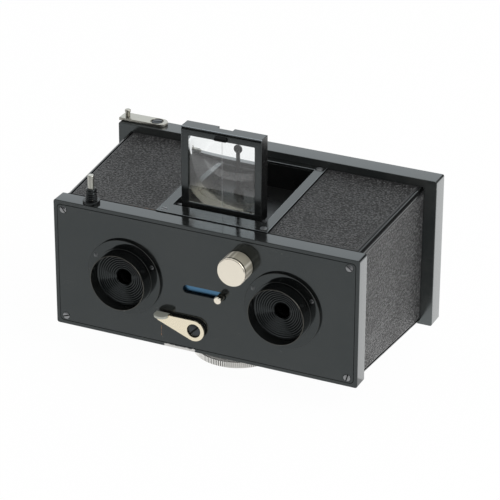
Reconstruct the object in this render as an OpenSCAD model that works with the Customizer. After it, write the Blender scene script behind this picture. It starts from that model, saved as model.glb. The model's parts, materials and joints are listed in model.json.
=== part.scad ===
// Stereo plate camera: front case with two ringed lens hoods, tapered leather-covered body,
// folding frame finder in a well, rear frame with its plate holder, and a knurled foot disc.
// Every piece is drawn with x = 0 midway between the lenses, y = 0 on the front panel and
// z = 0 under the front case; place() then sets the origin under the foot disc.

/* [Front case] */
// Width of the front case
case_w = 121; // [112:0.5:140]
// Height of the front case
case_h = 50.6; // [50:0.2:56]
// Depth of the front case
case_t = 6.7; // [6.5:0.1:9]
// Corner radius of the front case
case_r = 0.9; // [0.5:0.1:3]
// Width of the rim round the front panel
rim_w = 1.5; // [1:0.1:2.2]
// Width of the ledge behind the front panel
ledge_w = 0.8; // [0.5:0.1:1.2]
// Thickness of the front panel
panel_t = 1.2; // [0.9:0.1:1.4]
// Corner radius of the front panel
panel_r = 1.5; // [1:0.1:3.5]
// Thickness of the case's back wall
back_t = 1; // [0.7:0.1:1.2]
// Distance of the panel screws from the ends of the case
screw_inset_x = 4; // [3.5:0.1:5]
// Distance of the panel screws from the top and bottom of the case
screw_inset_z = 3.5; // [3.3:0.1:5]
// Radius of a panel screw's head
screw_head_r = 1.4; // [1:0.1:1.6]

/* [Lenses] */
// Distance between the lens axes
lens_base = 63; // [58:0.5:66]
// Radius of a lens flange
flange_r = 14.7; // [13:0.1:16]
// Radius of the flat front of a lens flange
flange_top_r = 11.5; // [11.3:0.1:12.8]
// Height of a lens flange above the panel
flange_t = 1.7; // [1.2:0.1:2.4]
// Radius of a lens barrel
barrel_r = 10.9; // [10:0.1:11.3]
// Reach of a lens barrel in front of the panel
barrel_reach = 6.75; // [5:0.05:9]
// Radius of the hood's grooved floor
hood_r = 10.4; // [9.6:0.1:10.5]
// Fall of the hood's grooved floor from its wall to the pupil
hood_fall = 1.15; // [0.6:0.05:2]
// Number of grooves turned in the hood's floor
hood_rings = 9; // [5:1:12]
// Radius of the pupil at the bottom of the hood
pupil_r = 3; // [2.5:0.1:3.6]
// Radius of a front lens element
glass_r = 4; // [3.8:0.1:5]
// Radius of a rear lens cell
cell_r = 6; // [5.5:0.1:8]

/* [Aperture strip] */
// Place of the slot's middle across the panel
slot_x = 0.4; // [-2:0.05:2]
// Length of the slot
slot_len = 17.2; // [15:0.1:18]
// Height of the slot
slot_h = 3.1; // [2.6:0.1:3.6]
// Height of the aperture strip
strip_h = 8; // [7:0.1:9]
// Thickness of the aperture strip
strip_t = 0.4; // [0.3:0.05:0.5]
// Radius of the pin on the strip
pin_r = 1.45; // [1:0.05:1.5]
// Reach of the pin in front of the panel
pin_reach = 3.8; // [3:0.1:6]
// Radii of the large, middle and small stops
stop_radii = [2.9, 1.8, 1];

/* [Shutter lever] */
// Place of the lever's pivot across the panel
lever_x = -3.05; // [-4:0.05:2]
// Height of the lever's pivot above the bottom of the case
lever_z = 9.9; // [9:0.1:10.5]
// Distance from the pivot to the lever's tip
lever_len = 15.4; // [14:0.1:16.5]
// Radius of the lever's eye
lever_eye_r = 4.15; // [3.6:0.05:4.6]
// Radius of the hole in the lever's eye
lever_hole_r = 2.65; // [2.2:0.05:3]
// Radius of the lever's tip
lever_tip_r = 1.5; // [1.2:0.1:2]
// Thickness of the lever
lever_t = 1; // [0.8:0.1:1.4]
// Gap between the panel and the lever's bush flange top
lever_stand = 1; // [0.8:0.1:2.6]
// Direction of the lever at rest, counted from the right
lever_angle = 169; // [165:1:175]
// Swing of the lever
lever_swing = 45; // [30:1:48]
// Length of the crank inside the case
crank_len = 8.5; // [7.5:0.1:8.6]

/* [Speed knob] */
// Place of the knob across the panel
knob_x = 14.2; // [10:0.1:15]
// Distance of the knob below the top of the case
knob_drop = 11.1; // [10:0.1:12]
// Radius of the knob
knob_r = 5.5; // [4.5:0.1:6]
// Reach of the knob in front of the panel
knob_reach = 7; // [5:0.1:9]
// Thickness of the knob's cap
knob_cap_t = 0.8; // [0.6:0.1:1.5]

/* [Release] */
// Place of the release along the top of the case
release_x = -46.5; // [-48:0.1:-45]
// Radius of the release pin
release_r = 1.2; // [1:0.05:1.3]
// Height of the release pin above the case
release_reach = 11; // [9:0.1:13]
// Height of the threaded collar
collar_h = 5.7; // [4.5:0.1:6.2]
// Travel of the release pin
release_travel = 3; // [2:0.1:3.5]

/* [Body] */
// Length of the body between the front case and the rear frame
body_len = 54.7; // [52:0.1:60]
// Width of the body at the front
body_front_w = 116.8; // [114:0.1:118]
// Height of the body at the rear
body_rear_h = 56; // [54:0.1:57]
// Thickness of the metal shell
shell_t = 1.6; // [1:0.1:2]
// Thickness of the leather
leather_t = 0.6; // [0.4:0.05:1]
// Bare width of the shell along its long corners
corner_w = 1.7; // [1:0.1:2.5]
// Thickness of the wall between the chambers
septum_t = 1; // [0.6:0.1:1.6]

/* [Finder] */
// Width of the bezel round the well
bezel_w = 44; // [42:0.1:50]
// Height of the bezel above the leather
bezel_rise = 0.4; // [0.2:0.1:0.8]
// Width of the well
well_w = 36.6; // [35.6:0.1:37]
// Distance of the well from the front panel
well_front = 13; // [12.6:0.1:13.6]
// Distance of the well from the rear frame
well_end = 3.4; // [2.6:0.1:4]
// Room in the well past the folded finder frame
well_room = 12.6; // [12.4:0.1:14]
// Depth of the well's floor below the top of the front case
well_depth = 7.4; // [7:0.1:8]
// Thickness of the tray that forms the well
tray_t = 0.6; // [0.4:0.1:0.8]
// Width of the finder frame
finder_w = 31.8; // [30:0.1:32.5]
// Width of the bars of the finder frame
finder_bar = 2.8; // [2.2:0.1:3.2]
// Width of the top bar of the finder frame
finder_top_bar = 3.4; // [2.8:0.1:4]
// Depth of the finder frame from front to back
finder_t = 5.4; // [5:0.1:5.6]
// Thickness of the finder frame's sheet
finder_sheet = 0.9; // [0.7:0.1:1]
// Width of the notch in the finder frame's top
finder_notch_w = 5.8; // [5:0.1:8]
// Thickness of the finder glass at its edges
finder_glass_t = 4.4; // [3.5:0.1:4.4]
// Fold of the finder frame
finder_fold = 87; // [80:1:88]
// Height of the peep disc above the hinge of the sight
sight_h = 26.5; // [25.5:0.1:26.6]
// Radius of the peep disc
sight_disc_r = 2.3; // [2:0.1:2.4]

/* [Rear frame] */
// Width of the rear frame
frame_w = 130.6; // [128:0.1:136]
// Height of the rear frame
frame_h = 59.6; // [59:0.1:64]
// Depth of the rear frame
frame_t = 7.8; // [7.6:0.1:9]
// Rise of the rear frame's middle above the lens axes
frame_rise = 1; // [0:0.1:1.4]
// Corner radius of the rear frame
frame_r = 0.8; // [0.5:0.1:3]
// Overhang of the rear frame past the sides of the body
frame_side = 4.7; // [3.5:0.1:6]
// Thickness of the front and back walls of the rear frame
frame_wall = 1.6; // [1.2:0.1:1.7]
// Thickness of the right-hand end wall of the rear frame
frame_end = 4; // [3:0.1:5]
// Height of the plate holder's rails above and below the plate
holder_rail = 2.7; // [2.4:0.1:3]
// Width of the glass plate
plate_w = 107; // [106:0.1:108]
// Height of the glass plate
plate_h = 45; // [44:0.1:45.4]
// Thickness of the glass plate
plate_t = 1.2; // [1:0.05:1.3]
// Thickness of the dark slide
slide_t = 0.5; // [0.4:0.05:0.6]
// Reach of the dark slide's tab past the frame
tab_len = 5; // [4:0.1:8]

/* [Latch] */
// Length of the latch bar
latch_len = 19.2; // [17:0.1:22]
// Width of the latch bar
latch_w = 5.8; // [5:0.1:6.4]
// Thickness of the latch bar
latch_t = 1.2; // [0.8:0.1:1.6]
// Distance of the latch bar's end past the end of the rear frame
latch_over = 0.5; // [0:0.1:1]
// Height of the finger pin above the latch bar
latch_pin_h = 2.7; // [2:0.1:5]

/* [Foot] */
// Distance of the foot's axis behind the front panel
foot_setback = 30.5; // [28:0.1:34]
// Distance from the bottom of the case to the underside of the foot
foot_drop = 12; // [11.5:0.1:15]
// Radius of the foot disc
foot_r = 17.3; // [15:0.1:20]
// Thickness of the foot disc's rim
foot_t = 3.2; // [2:0.1:4]
// Radius of the tripod thread, three eighths of an inch across
thread_r = 4.7625; // [3.175, 4.7625]
// Depth of the tripod thread in the foot disc
thread_depth = 5; // [4:0.1:5.4]

/* [Hidden] */
$fn = 64;

// Overlap of a cutting tool past the face it cuts
cut = 1;
// Radial clearance of a piece fixed in its seat
seat_gap = 0.03;
// Radial clearance of a running fit
run_gap = 0.05;
// Clearance between flat sliding faces
slide_gap = 0.15;
// Clearance between moving pieces that don't guide each other
free_gap = 0.3;
// Width of the seam round the front panel
seam = 0.12;

// Colours of the finishes
enamel = "#2a2d2d";
satin = "#161717";
hide = "#242424";
nickel = "#d8d0bf";
steel = "#8b8f92";
blued = "#2f6391";
brass = "#b08d4c";
clear = [0.8, 0.88, 0.88, 0.4];

// Lens axes and the inside of the front case
lens_x = lens_base / 2;
lens_z = case_h / 2;
panel_w = case_w - 2 * rim_w;
panel_h = case_h - 2 * rim_w;
cavity_w = panel_w - 2 * ledge_w;
cavity_h = panel_h - 2 * ledge_w;
cavity_top = lens_z + cavity_h / 2;
back_y = case_t - back_t;

// Layers inside the front case, from the panel backwards
strip_y = panel_t + free_gap;
crank_t = 0.6;
crank_y = strip_y + strip_t + 0.2;
bar_t = 0.4;
bar_y = crank_y + crank_t + 0.2;
shutter_plate_t = 0.6;
shutter_plate_y = bar_y + bar_t + free_gap;

// Panel screws
screw_r = 0.8;
screw_head_t = 0.65;
screw_proud = 0.2;
screw_len = 3;
screw_slot_w = 0.4;
screw_post_r = 2.4;
screw_turns = [20, 75, 130, -35];

// Lens flange screws
flange_edge = 0.5;
flange_screw_r = 0.85;
flange_screw_circle = (flange_r + flange_top_r) / 2;
flange_screw_angle = 29;
flange_screw_turn = 35;

// Lens barrel and its glasses
lip_chamfer = 0.1;
lip_wall = 0.25;
hood_groove = 0.3;
pupil_y = -0.9;
hood_y = pupil_y - hood_fall;
pupil_lip = 0.7;
glass_seat_y = pupil_y + pupil_lip;
glass_curve = 12;
glass_vertex_y = glass_seat_y - 0.35;
glass_t = 1.2;
cell_lip = 0.8;
cell_flange_r = cell_r + 2;
cell_flange_t = 1;
rear_glass_r = cell_r - 1.4;
rear_glass_t = 1.8;

// Aperture strip and its pin
pin_end_gap = 0.15;
stop_pitch = (slot_len - slot_h - 2 * pin_end_gap) / 2;
pin_x = slot_x + (slot_len - slot_h) / 2 - pin_end_gap;
strip_end = 4.5;
guide_inner_x = 12.5;
guide_len = 7;
guide_w = 1.5;
guide_lip = 0.7;
guide_lip_t = 0.4;

// Lever, its bush and its crank
spindle_r = 1.5;
bush_flange_r = 3.4;
bush_sleeve_r = 2.4;
bush_flange_t = lever_stand - slide_gap;
lever_face = lever_stand + lever_t;
lever_head_r = lever_hole_r - 0.1;
lever_head_t = 0.5;
lever_taper = asin((lever_eye_r - lever_tip_r) / (lever_len - lever_tip_r));
lever_tab_len = 5.6;
lever_tab_reach = 3.2;
lever_tab_r = 2.4;
lever_tab_rise = 0.5;
lever_tab_x = lever_len - lever_tab_len / 2;
crank_pin_r = 0.8;
crank_eye_r = 2.6;
crank_tip_r = 1.6;
crank_rest = 90 + lever_swing / 2;

// Shutter bar and the plate it runs on
bar_h = 9;
bar_hole_r = 3.8;
bar_end = 6;
bar_travel = 2 * crank_len * sin(lever_swing / 2);
fork_w = 4.4;
fork_drop = 2.2;
fork_x = lever_x - bar_travel / 2;
fork_z = lever_z + crank_len * cos(lever_swing / 2) - fork_drop;
shutter_plate_w = 80;
shutter_plate_h = 35;
shutter_hole_r = 4.6;
bar_rail_w = 1.2;
plate_screw_r = 0.7;
plate_screw_turn = 15;
plate_screw_head_r = 1.2;
plate_screw_head_t = 0.5;
pillar_r = 1.6;
pillar_inset = 4;

// Speed knob
knob_z = case_h - knob_drop;
knob_gap = 0.3;
knob_groove_w = 0.5;
knob_groove_r = knob_r - 0.6;
knob_chamfer = 0.25;
knob_bore_depth = 3;
cam_r = 3.4;
cam_offset = 1;
cam_t = 0.8;

// Release pin, collar and spring
release_y = case_t / 2;
collar_base_r = 3.2;
collar_base_h = 1.1;
collar_low_r = 2.35;
collar_top_r = 2;
release_flange_r = 1.9;
release_flange_t = 0.8;
release_flange_z = cavity_top - 0.4 - release_flange_t;
spring_seat_z = cavity_top - 8.1;
spring_seat_t = 0.8;
spring_seat_w = 6;
release_tail = 1.4;
spring_wire_r = 0.2;
spring_mean_r = release_r + 0.38;
spring_turns = 6;
spring_rings = 8;
spring_sides = 6;
spring_low_z = spring_seat_z + spring_seat_t + spring_wire_r + 0.02;
spring_high_z = release_flange_z - spring_wire_r - 0.02;

// Body
body_end = case_t + body_len;
body_rear_w = frame_w - 2 * frame_side;
top_tilt = atan((body_rear_h - case_h) / 2 / body_len);
side_tilt = atan((body_rear_w - body_front_w) / 2 / body_len);
top_len = body_len / cos(top_tilt);
side_len = body_len / cos(side_tilt);
shell_r = 1.4;
corner_r = 0.5;
shell_seam = 0.04;
sheet_end = 0.1;

// Finder well and bezel
bezel_screw_inset = 2.3;
bezel_screw_r = 0.7;
bezel_head_r = 1.2;
bezel_head_t = 0.4;
well_rear = body_end - well_end;
well_len = well_rear - well_front;
well_floor = case_h - well_depth;
tray_w = well_w + 2 * tray_t;

// Finder frame and its hinge
finder_set = 1.8;
finder_h = well_len - well_room;
hinge_drop = 1.7;
hinge_y = well_front + 2.2 + finder_set;
hinge_z = case_h + (hinge_y - case_t) * tan(top_tilt) - hinge_drop;
finder_y = hinge_y - finder_set;
finder_z = hinge_z + 0.2;
finder_top = finder_z + finder_h;
finder_back = finder_y + finder_t;
hinge_pin_r = 0.75;
hinge_ear_r = 1.7;
finder_notch_d = 1.8;
finder_seam_drop = 0.95;
finder_seam_d = 0.25;
finder_glass_w = finder_w - 2 * finder_sheet - 0.4;
finder_glass_h = finder_h - finder_sheet - 1.4;
finder_glass_curve = 29;
finder_glass_thin = 0.5;
catch_w = 4.6;
catch_h = 1.8;
catch_reach = 1.1;

// Peep sight
sight_y = well_rear - 20.6;
sight_eye_r = 1.4;
sight_pin_r = 0.6;
sight_z = well_floor + sight_eye_r + 0.2;
sight_eye_w = 3.6;
sight_ear_t = 1;
sight_stalk_w = 2;
sight_stalk_t = 1;
sight_hole_r = 0.5;
sight_ear_w = 2.8;
sight_tube_w = 3;
sight_tube_t = 2;
sight_tube_len = 14;
sight_low = sight_tube_len - 2.3;

// Rear frame and plate holder
frame_z = lens_z + frame_rise;
frame_top = frame_z + frame_h / 2;
holder_h = plate_h + 2 * holder_rail;
holder_y = body_end + frame_wall + slide_gap;
holder_t = frame_t - 2 * frame_wall - 2 * slide_gap;
holder_x = frame_w / 2 - frame_end - slide_gap;
frame_lip = holder_rail + 0.3;
window_w = plate_w / 2 - 2;
window_h = plate_h - 4;
mullion_w = 2.4;
holder_back_t = 1;
slide_front = 0.5;
slide_overlap = 1.2;
slide_gap_y = 0.1;
slide_y = holder_y + slide_front;
slide_h = plate_h + 2 * slide_overlap;
slide_x = plate_w / 2 + 3;
plate_y = slide_y + slide_t + 0.4;
plate_gap = 0.2;
spring_leaf_t = 0.25;
spring_leaf_w = 60;
spring_leaf_h = 12;
tab_h = 18;
tab_rim_w = 1.6;
tab_rim_t = 1.2;

// Latch
latch_y = body_end + frame_t / 2 + 0.5;
latch_z = frame_top + 0.05;
latch_left = -frame_w / 2 - latch_over;
latch_pivot_x = latch_left + latch_len - latch_w / 2 - 1.4;
latch_shoulder_r = 1.5;
latch_head_r = 2.1;
latch_head_t = 0.4;
latch_bore_r = latch_head_r + 0.4;
latch_bore_d = 0.6;
latch_screw_len = 3;
latch_pin_x = latch_left + 2.4;
latch_pin_r = 0.9;
latch_pin_head_r = 1.15;
latch_pin_head_h = 1;

// Foot
bush_r = 8;
bush_collar_r = 10;
bush_low_z = -4.5;
bush_roof = 0.8;
bush_nut_r = 10.5;
bush_nut_t = 1;
hub_r = 7;
hub_gap = 0.2;
knurl_count = 144;
knurl_depth = 0.35;
foot_chamfer = 0.4;
foot_bottom_y = foot_setback - case_t;
body_low_z = -foot_bottom_y * tan(top_tilt);
bush_nut_z = body_low_z + leather_t + shell_t + bush_nut_r * tan(top_tilt) + seat_gap;
bush_top_z = bush_nut_z + bush_nut_t;
bush_thread_depth = bush_top_z - bush_low_z - bush_roof;
stud_len = bush_thread_depth - 0.3;

// Sets the origin on the foot's axis, under the foot disc
module place() {
  translate([0, -foot_setback, foot_drop]) children();
}

module at_lens_height() {
  translate([0, 0, lens_z]) children();
}

module at_lens(side) {
  translate([side * lens_x, 0, lens_z]) children();
}

module at_lenses() {
  for (side = [-1, 1]) at_lens(side) children();
}

// The panel's corners, numbered from the bottom left
module at_panel_screw(i) {
  side = i % 2 == 0 ? -1 : 1;
  level = i < 2 ? -1 : 1;
  translate([side * (case_w / 2 - screw_inset_x), 0, lens_z + level * (case_h / 2 - screw_inset_z)])
    children();
}

module at_pillars() {
  for (side = [-1, 1], level = [-1, 1])
    translate([side * (shutter_plate_w / 2 - pillar_inset), 0,
      lens_z + level * (shutter_plate_h / 2 - pillar_inset)]) children();
}

// The sloping top of the body: z = 0 is the outside of the leather, y runs back along the slope
module on_top() {
  translate([0, case_t, case_h]) rotate([top_tilt, 0, 0]) children();
}

// Rectangle with round corners
module rounded(w, h, r) {
  square([w - 2 * r, h], center = true);
  square([w, h - 2 * r], center = true);
  for (x = [-1, 1], y = [-1, 1])
    translate([x * (w / 2 - r), y * (h / 2 - r)]) circle(r);
}

// Strip with round ends
module stadium(len, h) {
  square([len - h, h], center = true);
  for (x = [-1, 1])
    translate([x * (len - h) / 2, 0]) circle(d = h);
}

// Two round ends joined by their outer tangents, the second at (d, 0)
module tapered_link(r0, r1, d) {
  a = acos((r0 - r1) / d);
  circle(r0);
  translate([d, 0]) circle(r1);
  polygon([[r0 * cos(a), r0 * sin(a)], [d + r1 * cos(a), r1 * sin(a)],
    [d + r1 * cos(a), -r1 * sin(a)], [r0 * cos(a), -r0 * sin(a)]]);
}

// Extrudes an outline drawn in x and z from y backwards
module slab(y, depth) {
  translate([0, y + depth, 0]) rotate([90, 0, 0]) linear_extrude(depth) children();
}

// Extrudes an outline drawn in y and z from x to the right
module sheet_x(x, depth) {
  translate([x, 0, 0]) rotate([90, 0, 90]) linear_extrude(depth) children();
}

module rod_x(x, len, r) {
  translate([x, 0, 0]) rotate([0, 90, 0]) cylinder(h = len, r = r);
}

module rod_y(y, len, r) {
  translate([0, y, 0]) rotate([-90, 0, 0]) cylinder(h = len, r = r);
}

// Turns a profile drawn in radius and y about the y axis
module turned_y() {
  rotate([-90, 0, 0]) rotate_extrude() children();
}

// Slotted head and shank of a screw whose head starts at y
module slotted_screw(y, head_r, head_t, shank_r, shank_len, turn) {
  difference() {
    rod_y(y, head_t, head_r);
    rotate([0, turn, 0])
      translate([-head_r - cut, y - cut, -screw_slot_w / 2])
        cube([2 * (head_r + cut), cut + head_t / 2, screw_slot_w]);
  }
  rod_y(y + head_t, shank_len, shank_r);
}

module front_case() {
  color(enamel) difference() {
    union() {
      difference() {
        at_lens_height() slab(0, case_t) rounded(case_w, case_h, case_r);
        at_lens_height() slab(-cut, panel_t + cut) rounded(panel_w, panel_h, panel_r);
        at_lens_height() slab(panel_t - cut, back_y - panel_t + cut)
          rounded(cavity_w, cavity_h, panel_r - ledge_w / 2);
      }
      for (i = [0:3]) at_panel_screw(i) rod_y(panel_t, back_y - panel_t + back_t / 2, screw_post_r);
      at_pillars()
        rod_y(shutter_plate_y + shutter_plate_t, back_y - shutter_plate_y - shutter_plate_t + back_t / 2,
          pillar_r);
    }
    for (i = [0:3]) at_panel_screw(i) rod_y(panel_t - cut, screw_len + cut, screw_r + seat_gap);
    at_pillars()
      rod_y(shutter_plate_y, back_y - shutter_plate_y, plate_screw_r + seat_gap);
    at_lenses() rod_y(back_y - cut, back_t + 2 * cut, cell_r + seat_gap);
    translate([release_x, release_y, cavity_top - cut])
      cylinder(h = case_h - cavity_top + 2 * cut, r = release_r + run_gap);
  }
}

module front_panel() {
  color(enamel) difference() {
    at_lens_height() slab(0, panel_t) rounded(panel_w - 2 * seam, panel_h - 2 * seam, panel_r - seam);
    at_lenses() rod_y(-cut, panel_t + 2 * cut, barrel_r + seat_gap);
    at_lenses() flange_screw_holes(panel_t);
    translate([slot_x, 0, lens_z]) slab(-cut, panel_t + 2 * cut) stadium(slot_len, slot_h);
    translate([lever_x, 0, lever_z]) rod_y(-cut, panel_t + 2 * cut, bush_sleeve_r + seat_gap);
    translate([knob_x, 0, knob_z]) rod_y(-cut, panel_t + 2 * cut, spindle_r + run_gap);
    for (i = [0:3]) at_panel_screw(i) {
      rod_y(-cut, panel_t + 2 * cut, screw_r + seat_gap);
      rod_y(-cut, cut + screw_head_t - screw_proud, screw_head_r + seat_gap);
    }
  }
}

module panel_screws() {
  color(nickel)
    for (i = [0:3]) at_panel_screw(i)
      slotted_screw(-screw_proud, screw_head_r, screw_head_t, screw_r,
        panel_t + screw_len - screw_head_t + screw_proud - 0.2, screw_turns[i]);
}

module at_flange_screws() {
  for (i = [0:2]) rotate([0, -flange_screw_angle - 120 * i, 0])
    translate([flange_screw_circle, 0, 0]) children();
}

module flange_screw_holes(end) {
  at_flange_screws() rod_y(-flange_t - cut, flange_t + end + 2 * cut, flange_screw_r + seat_gap);
}

module lens_flange(side) {
  color(satin) at_lens(side) difference() {
    turned_y() polygon([[barrel_r + seat_gap, 0], [flange_r, 0], [flange_r, -flange_edge],
      [flange_top_r, -flange_t], [barrel_r + seat_gap, -flange_t]]);
    flange_screw_holes(panel_t);
  }
}

module flange_screws() {
  head_y = -flange_t + (flange_t - flange_edge) / 2;
  color(steel) at_lenses() at_flange_screws()
    slotted_screw(head_y - 0.1, flange_screw_r, 0.5, flange_screw_r, panel_t - head_y - 0.4,
      flange_screw_turn);
}

// Hood with a shallow grooved floor and a seat for the front element behind it
module lens_barrel(side) {
  ring_r = function(i) hood_r - i * (hood_r - pupil_r) / hood_rings;
  ring_y = function(i) hood_y + i * (pupil_y - hood_y) / hood_rings;
  grooved_floor = [for (i = [0:hood_rings - 1], k = [0.4, 0.7, 1])
    [ring_r(i + k), ring_y(i + k) + (k == 0.7 ? hood_groove : 0)]];
  color(satin) at_lens(side) turned_y() polygon(concat(
    [[barrel_r, panel_t], [barrel_r, lip_chamfer - barrel_reach], [barrel_r - lip_chamfer, -barrel_reach],
      [barrel_r - lip_wall, -barrel_reach], [hood_r, hood_y]],
    grooved_floor,
    [[pupil_r, glass_seat_y], [glass_r + seat_gap, glass_seat_y], [glass_r + seat_gap, panel_t]]));
}

module front_glass(side) {
  color(clear) at_lens(side) intersection() {
    rod_y(glass_vertex_y - cut, glass_t + cut, glass_r);
    translate([0, glass_vertex_y + glass_curve, 0]) sphere(glass_curve, $fn = 256);
  }
}

module glass_rings() {
  ring_y = glass_vertex_y + glass_t + seat_gap;
  color(brass) at_lenses() difference() {
    rod_y(ring_y, panel_t - ring_y, glass_r);
    rod_y(ring_y - cut, panel_t - ring_y + 2 * cut, pupil_r);
  }
}

module rear_cell(side) {
  front_y = back_y - cell_lip;
  rear_y = case_t + cell_flange_t;
  color(satin) at_lens(side) turned_y() polygon([
    [rear_glass_r - 0.6, front_y], [cell_r, front_y], [cell_r, case_t], [cell_flange_r, case_t],
    [cell_flange_r, rear_y], [rear_glass_r + seat_gap, rear_y],
    [rear_glass_r + seat_gap, rear_y - rear_glass_t - 0.4],
    [rear_glass_r - 0.6, rear_y - rear_glass_t - 0.4]]);
}

module rear_glass(side) {
  glass_y = case_t + cell_flange_t - rear_glass_t - 0.4 + seat_gap;
  color(clear) at_lens(side) intersection() {
    rod_y(glass_y, rear_glass_t + cut, rear_glass_r);
    translate([0, glass_y + rear_glass_t - glass_curve, 0]) sphere(glass_curve, $fn = 256);
  }
}

// Lipped rails above and below the strip, on the back of the panel
module slide_guides() {
  lip_y = strip_y + strip_t + slide_gap;
  color(brass)
    for (side = [-1, 1], level = [0, 1])
      at_lens_height() mirror([0, 0, level])
        translate([side * (guide_inner_x + guide_len / 2) - guide_len / 2, 0, strip_h / 2]) {
          translate([0, panel_t, slide_gap]) cube([guide_len, lip_y - panel_t, guide_w]);
          translate([0, lip_y, -guide_lip]) cube([guide_len, guide_lip_t, guide_lip + slide_gap + guide_w]);
        }
}

module aperture_strip() {
  left = -lens_x - strip_end;
  right = lens_x + 2 * stop_pitch + strip_end;
  color(blued) difference() {
    translate([left, strip_y, lens_z - strip_h / 2]) cube([right - left, strip_t, strip_h]);
    at_lenses()
      for (i = [0:2]) translate([i * stop_pitch, 0, 0])
        rod_y(strip_y - cut, strip_t + 2 * cut, stop_radii[i]);
    translate([pin_x, 0, lens_z]) rod_y(strip_y - cut, strip_t + 2 * cut, pin_r / 2 + seat_gap);
  }
}

module aperture_pin() {
  color(nickel) translate([pin_x, 0, lens_z]) {
    turned_y() polygon([[0, -pin_reach], [pin_r - 0.2, -pin_reach], [pin_r, 0.2 - pin_reach],
      [pin_r, strip_y], [0, strip_y]]);
    rod_y(strip_y, strip_t, pin_r / 2);
  }
}

// Bearing of the lever in the panel
module lever_bush() {
  color(satin) translate([lever_x, 0, lever_z]) turned_y() polygon([
    [spindle_r + run_gap, -bush_flange_t], [bush_flange_r, -bush_flange_t], [bush_flange_r, 0],
    [bush_sleeve_r, 0], [bush_sleeve_r, crank_y - slide_gap], [spindle_r + run_gap, crank_y - slide_gap]]);
}

// Turns the lever's own axis, x along the arm, to its rest direction
module along_lever() {
  translate([lever_x, 0, lever_z]) rotate([0, -lever_angle, 0]) children();
}

// Arm with a tab bent forwards from its upper edge
module lever_plate() {
  color(nickel) along_lever() {
    difference() {
      slab(-lever_face, lever_t) tapered_link(lever_eye_r, lever_tip_r, lever_len - lever_tip_r);
      rod_y(-lever_face - cut, lever_t + 2 * cut, lever_hole_r);
    }
    rotate([0, -lever_taper, 0]) translate([lever_tab_x, -lever_stand, -lever_eye_r - lever_tab_rise])
      linear_extrude(lever_t) difference() {
        rounded(lever_tab_len, 2 * (lever_tab_reach + lever_t), lever_tab_r);
        translate([-lever_tab_len, 0]) square([2 * lever_tab_len, 2 * lever_tab_reach]);
      }
  }
}

module lever_screw() {
  color(satin) translate([lever_x, 0, lever_z])
    slotted_screw(-lever_stand - lever_head_t, lever_head_r, lever_head_t, spindle_r,
      lever_stand + crank_y + crank_t, -45);
}

// Arm inside the case that moves the shutter bar
module lever_crank() {
  color(steel) translate([lever_x, 0, lever_z]) rotate([0, -crank_rest, 0]) {
    difference() {
      slab(crank_y, crank_t) tapered_link(crank_eye_r, crank_tip_r, crank_len);
      rod_y(crank_y - cut, crank_t + 2 * cut, spindle_r + seat_gap);
    }
    translate([crank_len, 0, 0]) rod_y(crank_y + crank_t, bar_y + bar_t - crank_y - crank_t, crank_pin_r);
  }
}

module shutter_bar() {
  left = -lens_x - bar_travel - bar_end;
  right = lens_x - bar_travel + 2 * bar_end;
  low = lens_z - bar_h / 2;
  color(satin) difference() {
    union() {
      translate([left, bar_y, low]) cube([right - left, bar_t, bar_h]);
      translate([fork_x - fork_w / 2, bar_y, fork_z]) cube([fork_w, bar_t, low - fork_z + 1]);
    }
    at_lenses() translate([-bar_travel, 0, 0]) rod_y(bar_y - cut, bar_t + 2 * cut, bar_hole_r);
    translate([fork_x - crank_pin_r - slide_gap, bar_y - cut, fork_z - cut])
      cube([2 * (crank_pin_r + slide_gap), bar_t + 2 * cut, low - fork_z + cut]);
  }
}

// Base of the shutter, with rails above and below the bar
module shutter_plate() {
  color(brass) difference() {
    union() {
      at_lens_height() slab(shutter_plate_y, shutter_plate_t)
        square([shutter_plate_w, shutter_plate_h], center = true);
      for (side = [-1, 1], level = [0, 1])
        at_lens_height() mirror([0, 0, level])
          translate([side * (guide_inner_x + guide_len / 2) - guide_len / 2, bar_y, bar_h / 2 + slide_gap])
            cube([guide_len, shutter_plate_y - bar_y + shutter_plate_t / 2, bar_rail_w]);
    }
    at_lenses() rod_y(shutter_plate_y - cut, shutter_plate_t + 2 * cut, shutter_hole_r);
    at_pillars() rod_y(shutter_plate_y - cut, shutter_plate_t + 2 * cut, plate_screw_r + seat_gap);
  }
}

module shutter_plate_screws() {
  color(steel) at_pillars()
    slotted_screw(shutter_plate_y - plate_screw_head_t, plate_screw_head_r, plate_screw_head_t,
      plate_screw_r, back_y - shutter_plate_y - 0.2, plate_screw_turn);
}

module speed_knob() {
  rear = -knob_gap;
  groove = knob_cap_t - knob_reach;
  bore_r = spindle_r + seat_gap;
  color(nickel) translate([knob_x, 0, knob_z]) turned_y() polygon([
    [0, -knob_reach], [knob_r - knob_chamfer, -knob_reach], [knob_r, knob_chamfer - knob_reach],
    [knob_r, groove], [knob_groove_r, groove], [knob_groove_r, groove + knob_groove_w],
    [knob_r, groove + knob_groove_w], [knob_r, rear], [bore_r, rear],
    [bore_r, rear - knob_bore_depth], [0, rear - knob_bore_depth]]);
}

// Spindle of the knob and its cam inside the case
module speed_cam() {
  front = -knob_gap - knob_bore_depth;
  color(steel) translate([knob_x, 0, knob_z]) {
    rod_y(front, crank_y - front, spindle_r);
    translate([0, 0, cam_offset]) rod_y(crank_y, cam_t, cam_r);
  }
}

module release_collar() {
  bore_r = release_r + run_gap;
  color(satin) translate([release_x, release_y, case_h]) rotate_extrude() polygon([
    [bore_r, 0], [collar_base_r, 0], [collar_base_r, collar_base_h], [collar_low_r, collar_base_h],
    [collar_top_r, collar_h - 0.4], [collar_top_r - 0.4, collar_h], [bore_r, collar_h]]);
}

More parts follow.
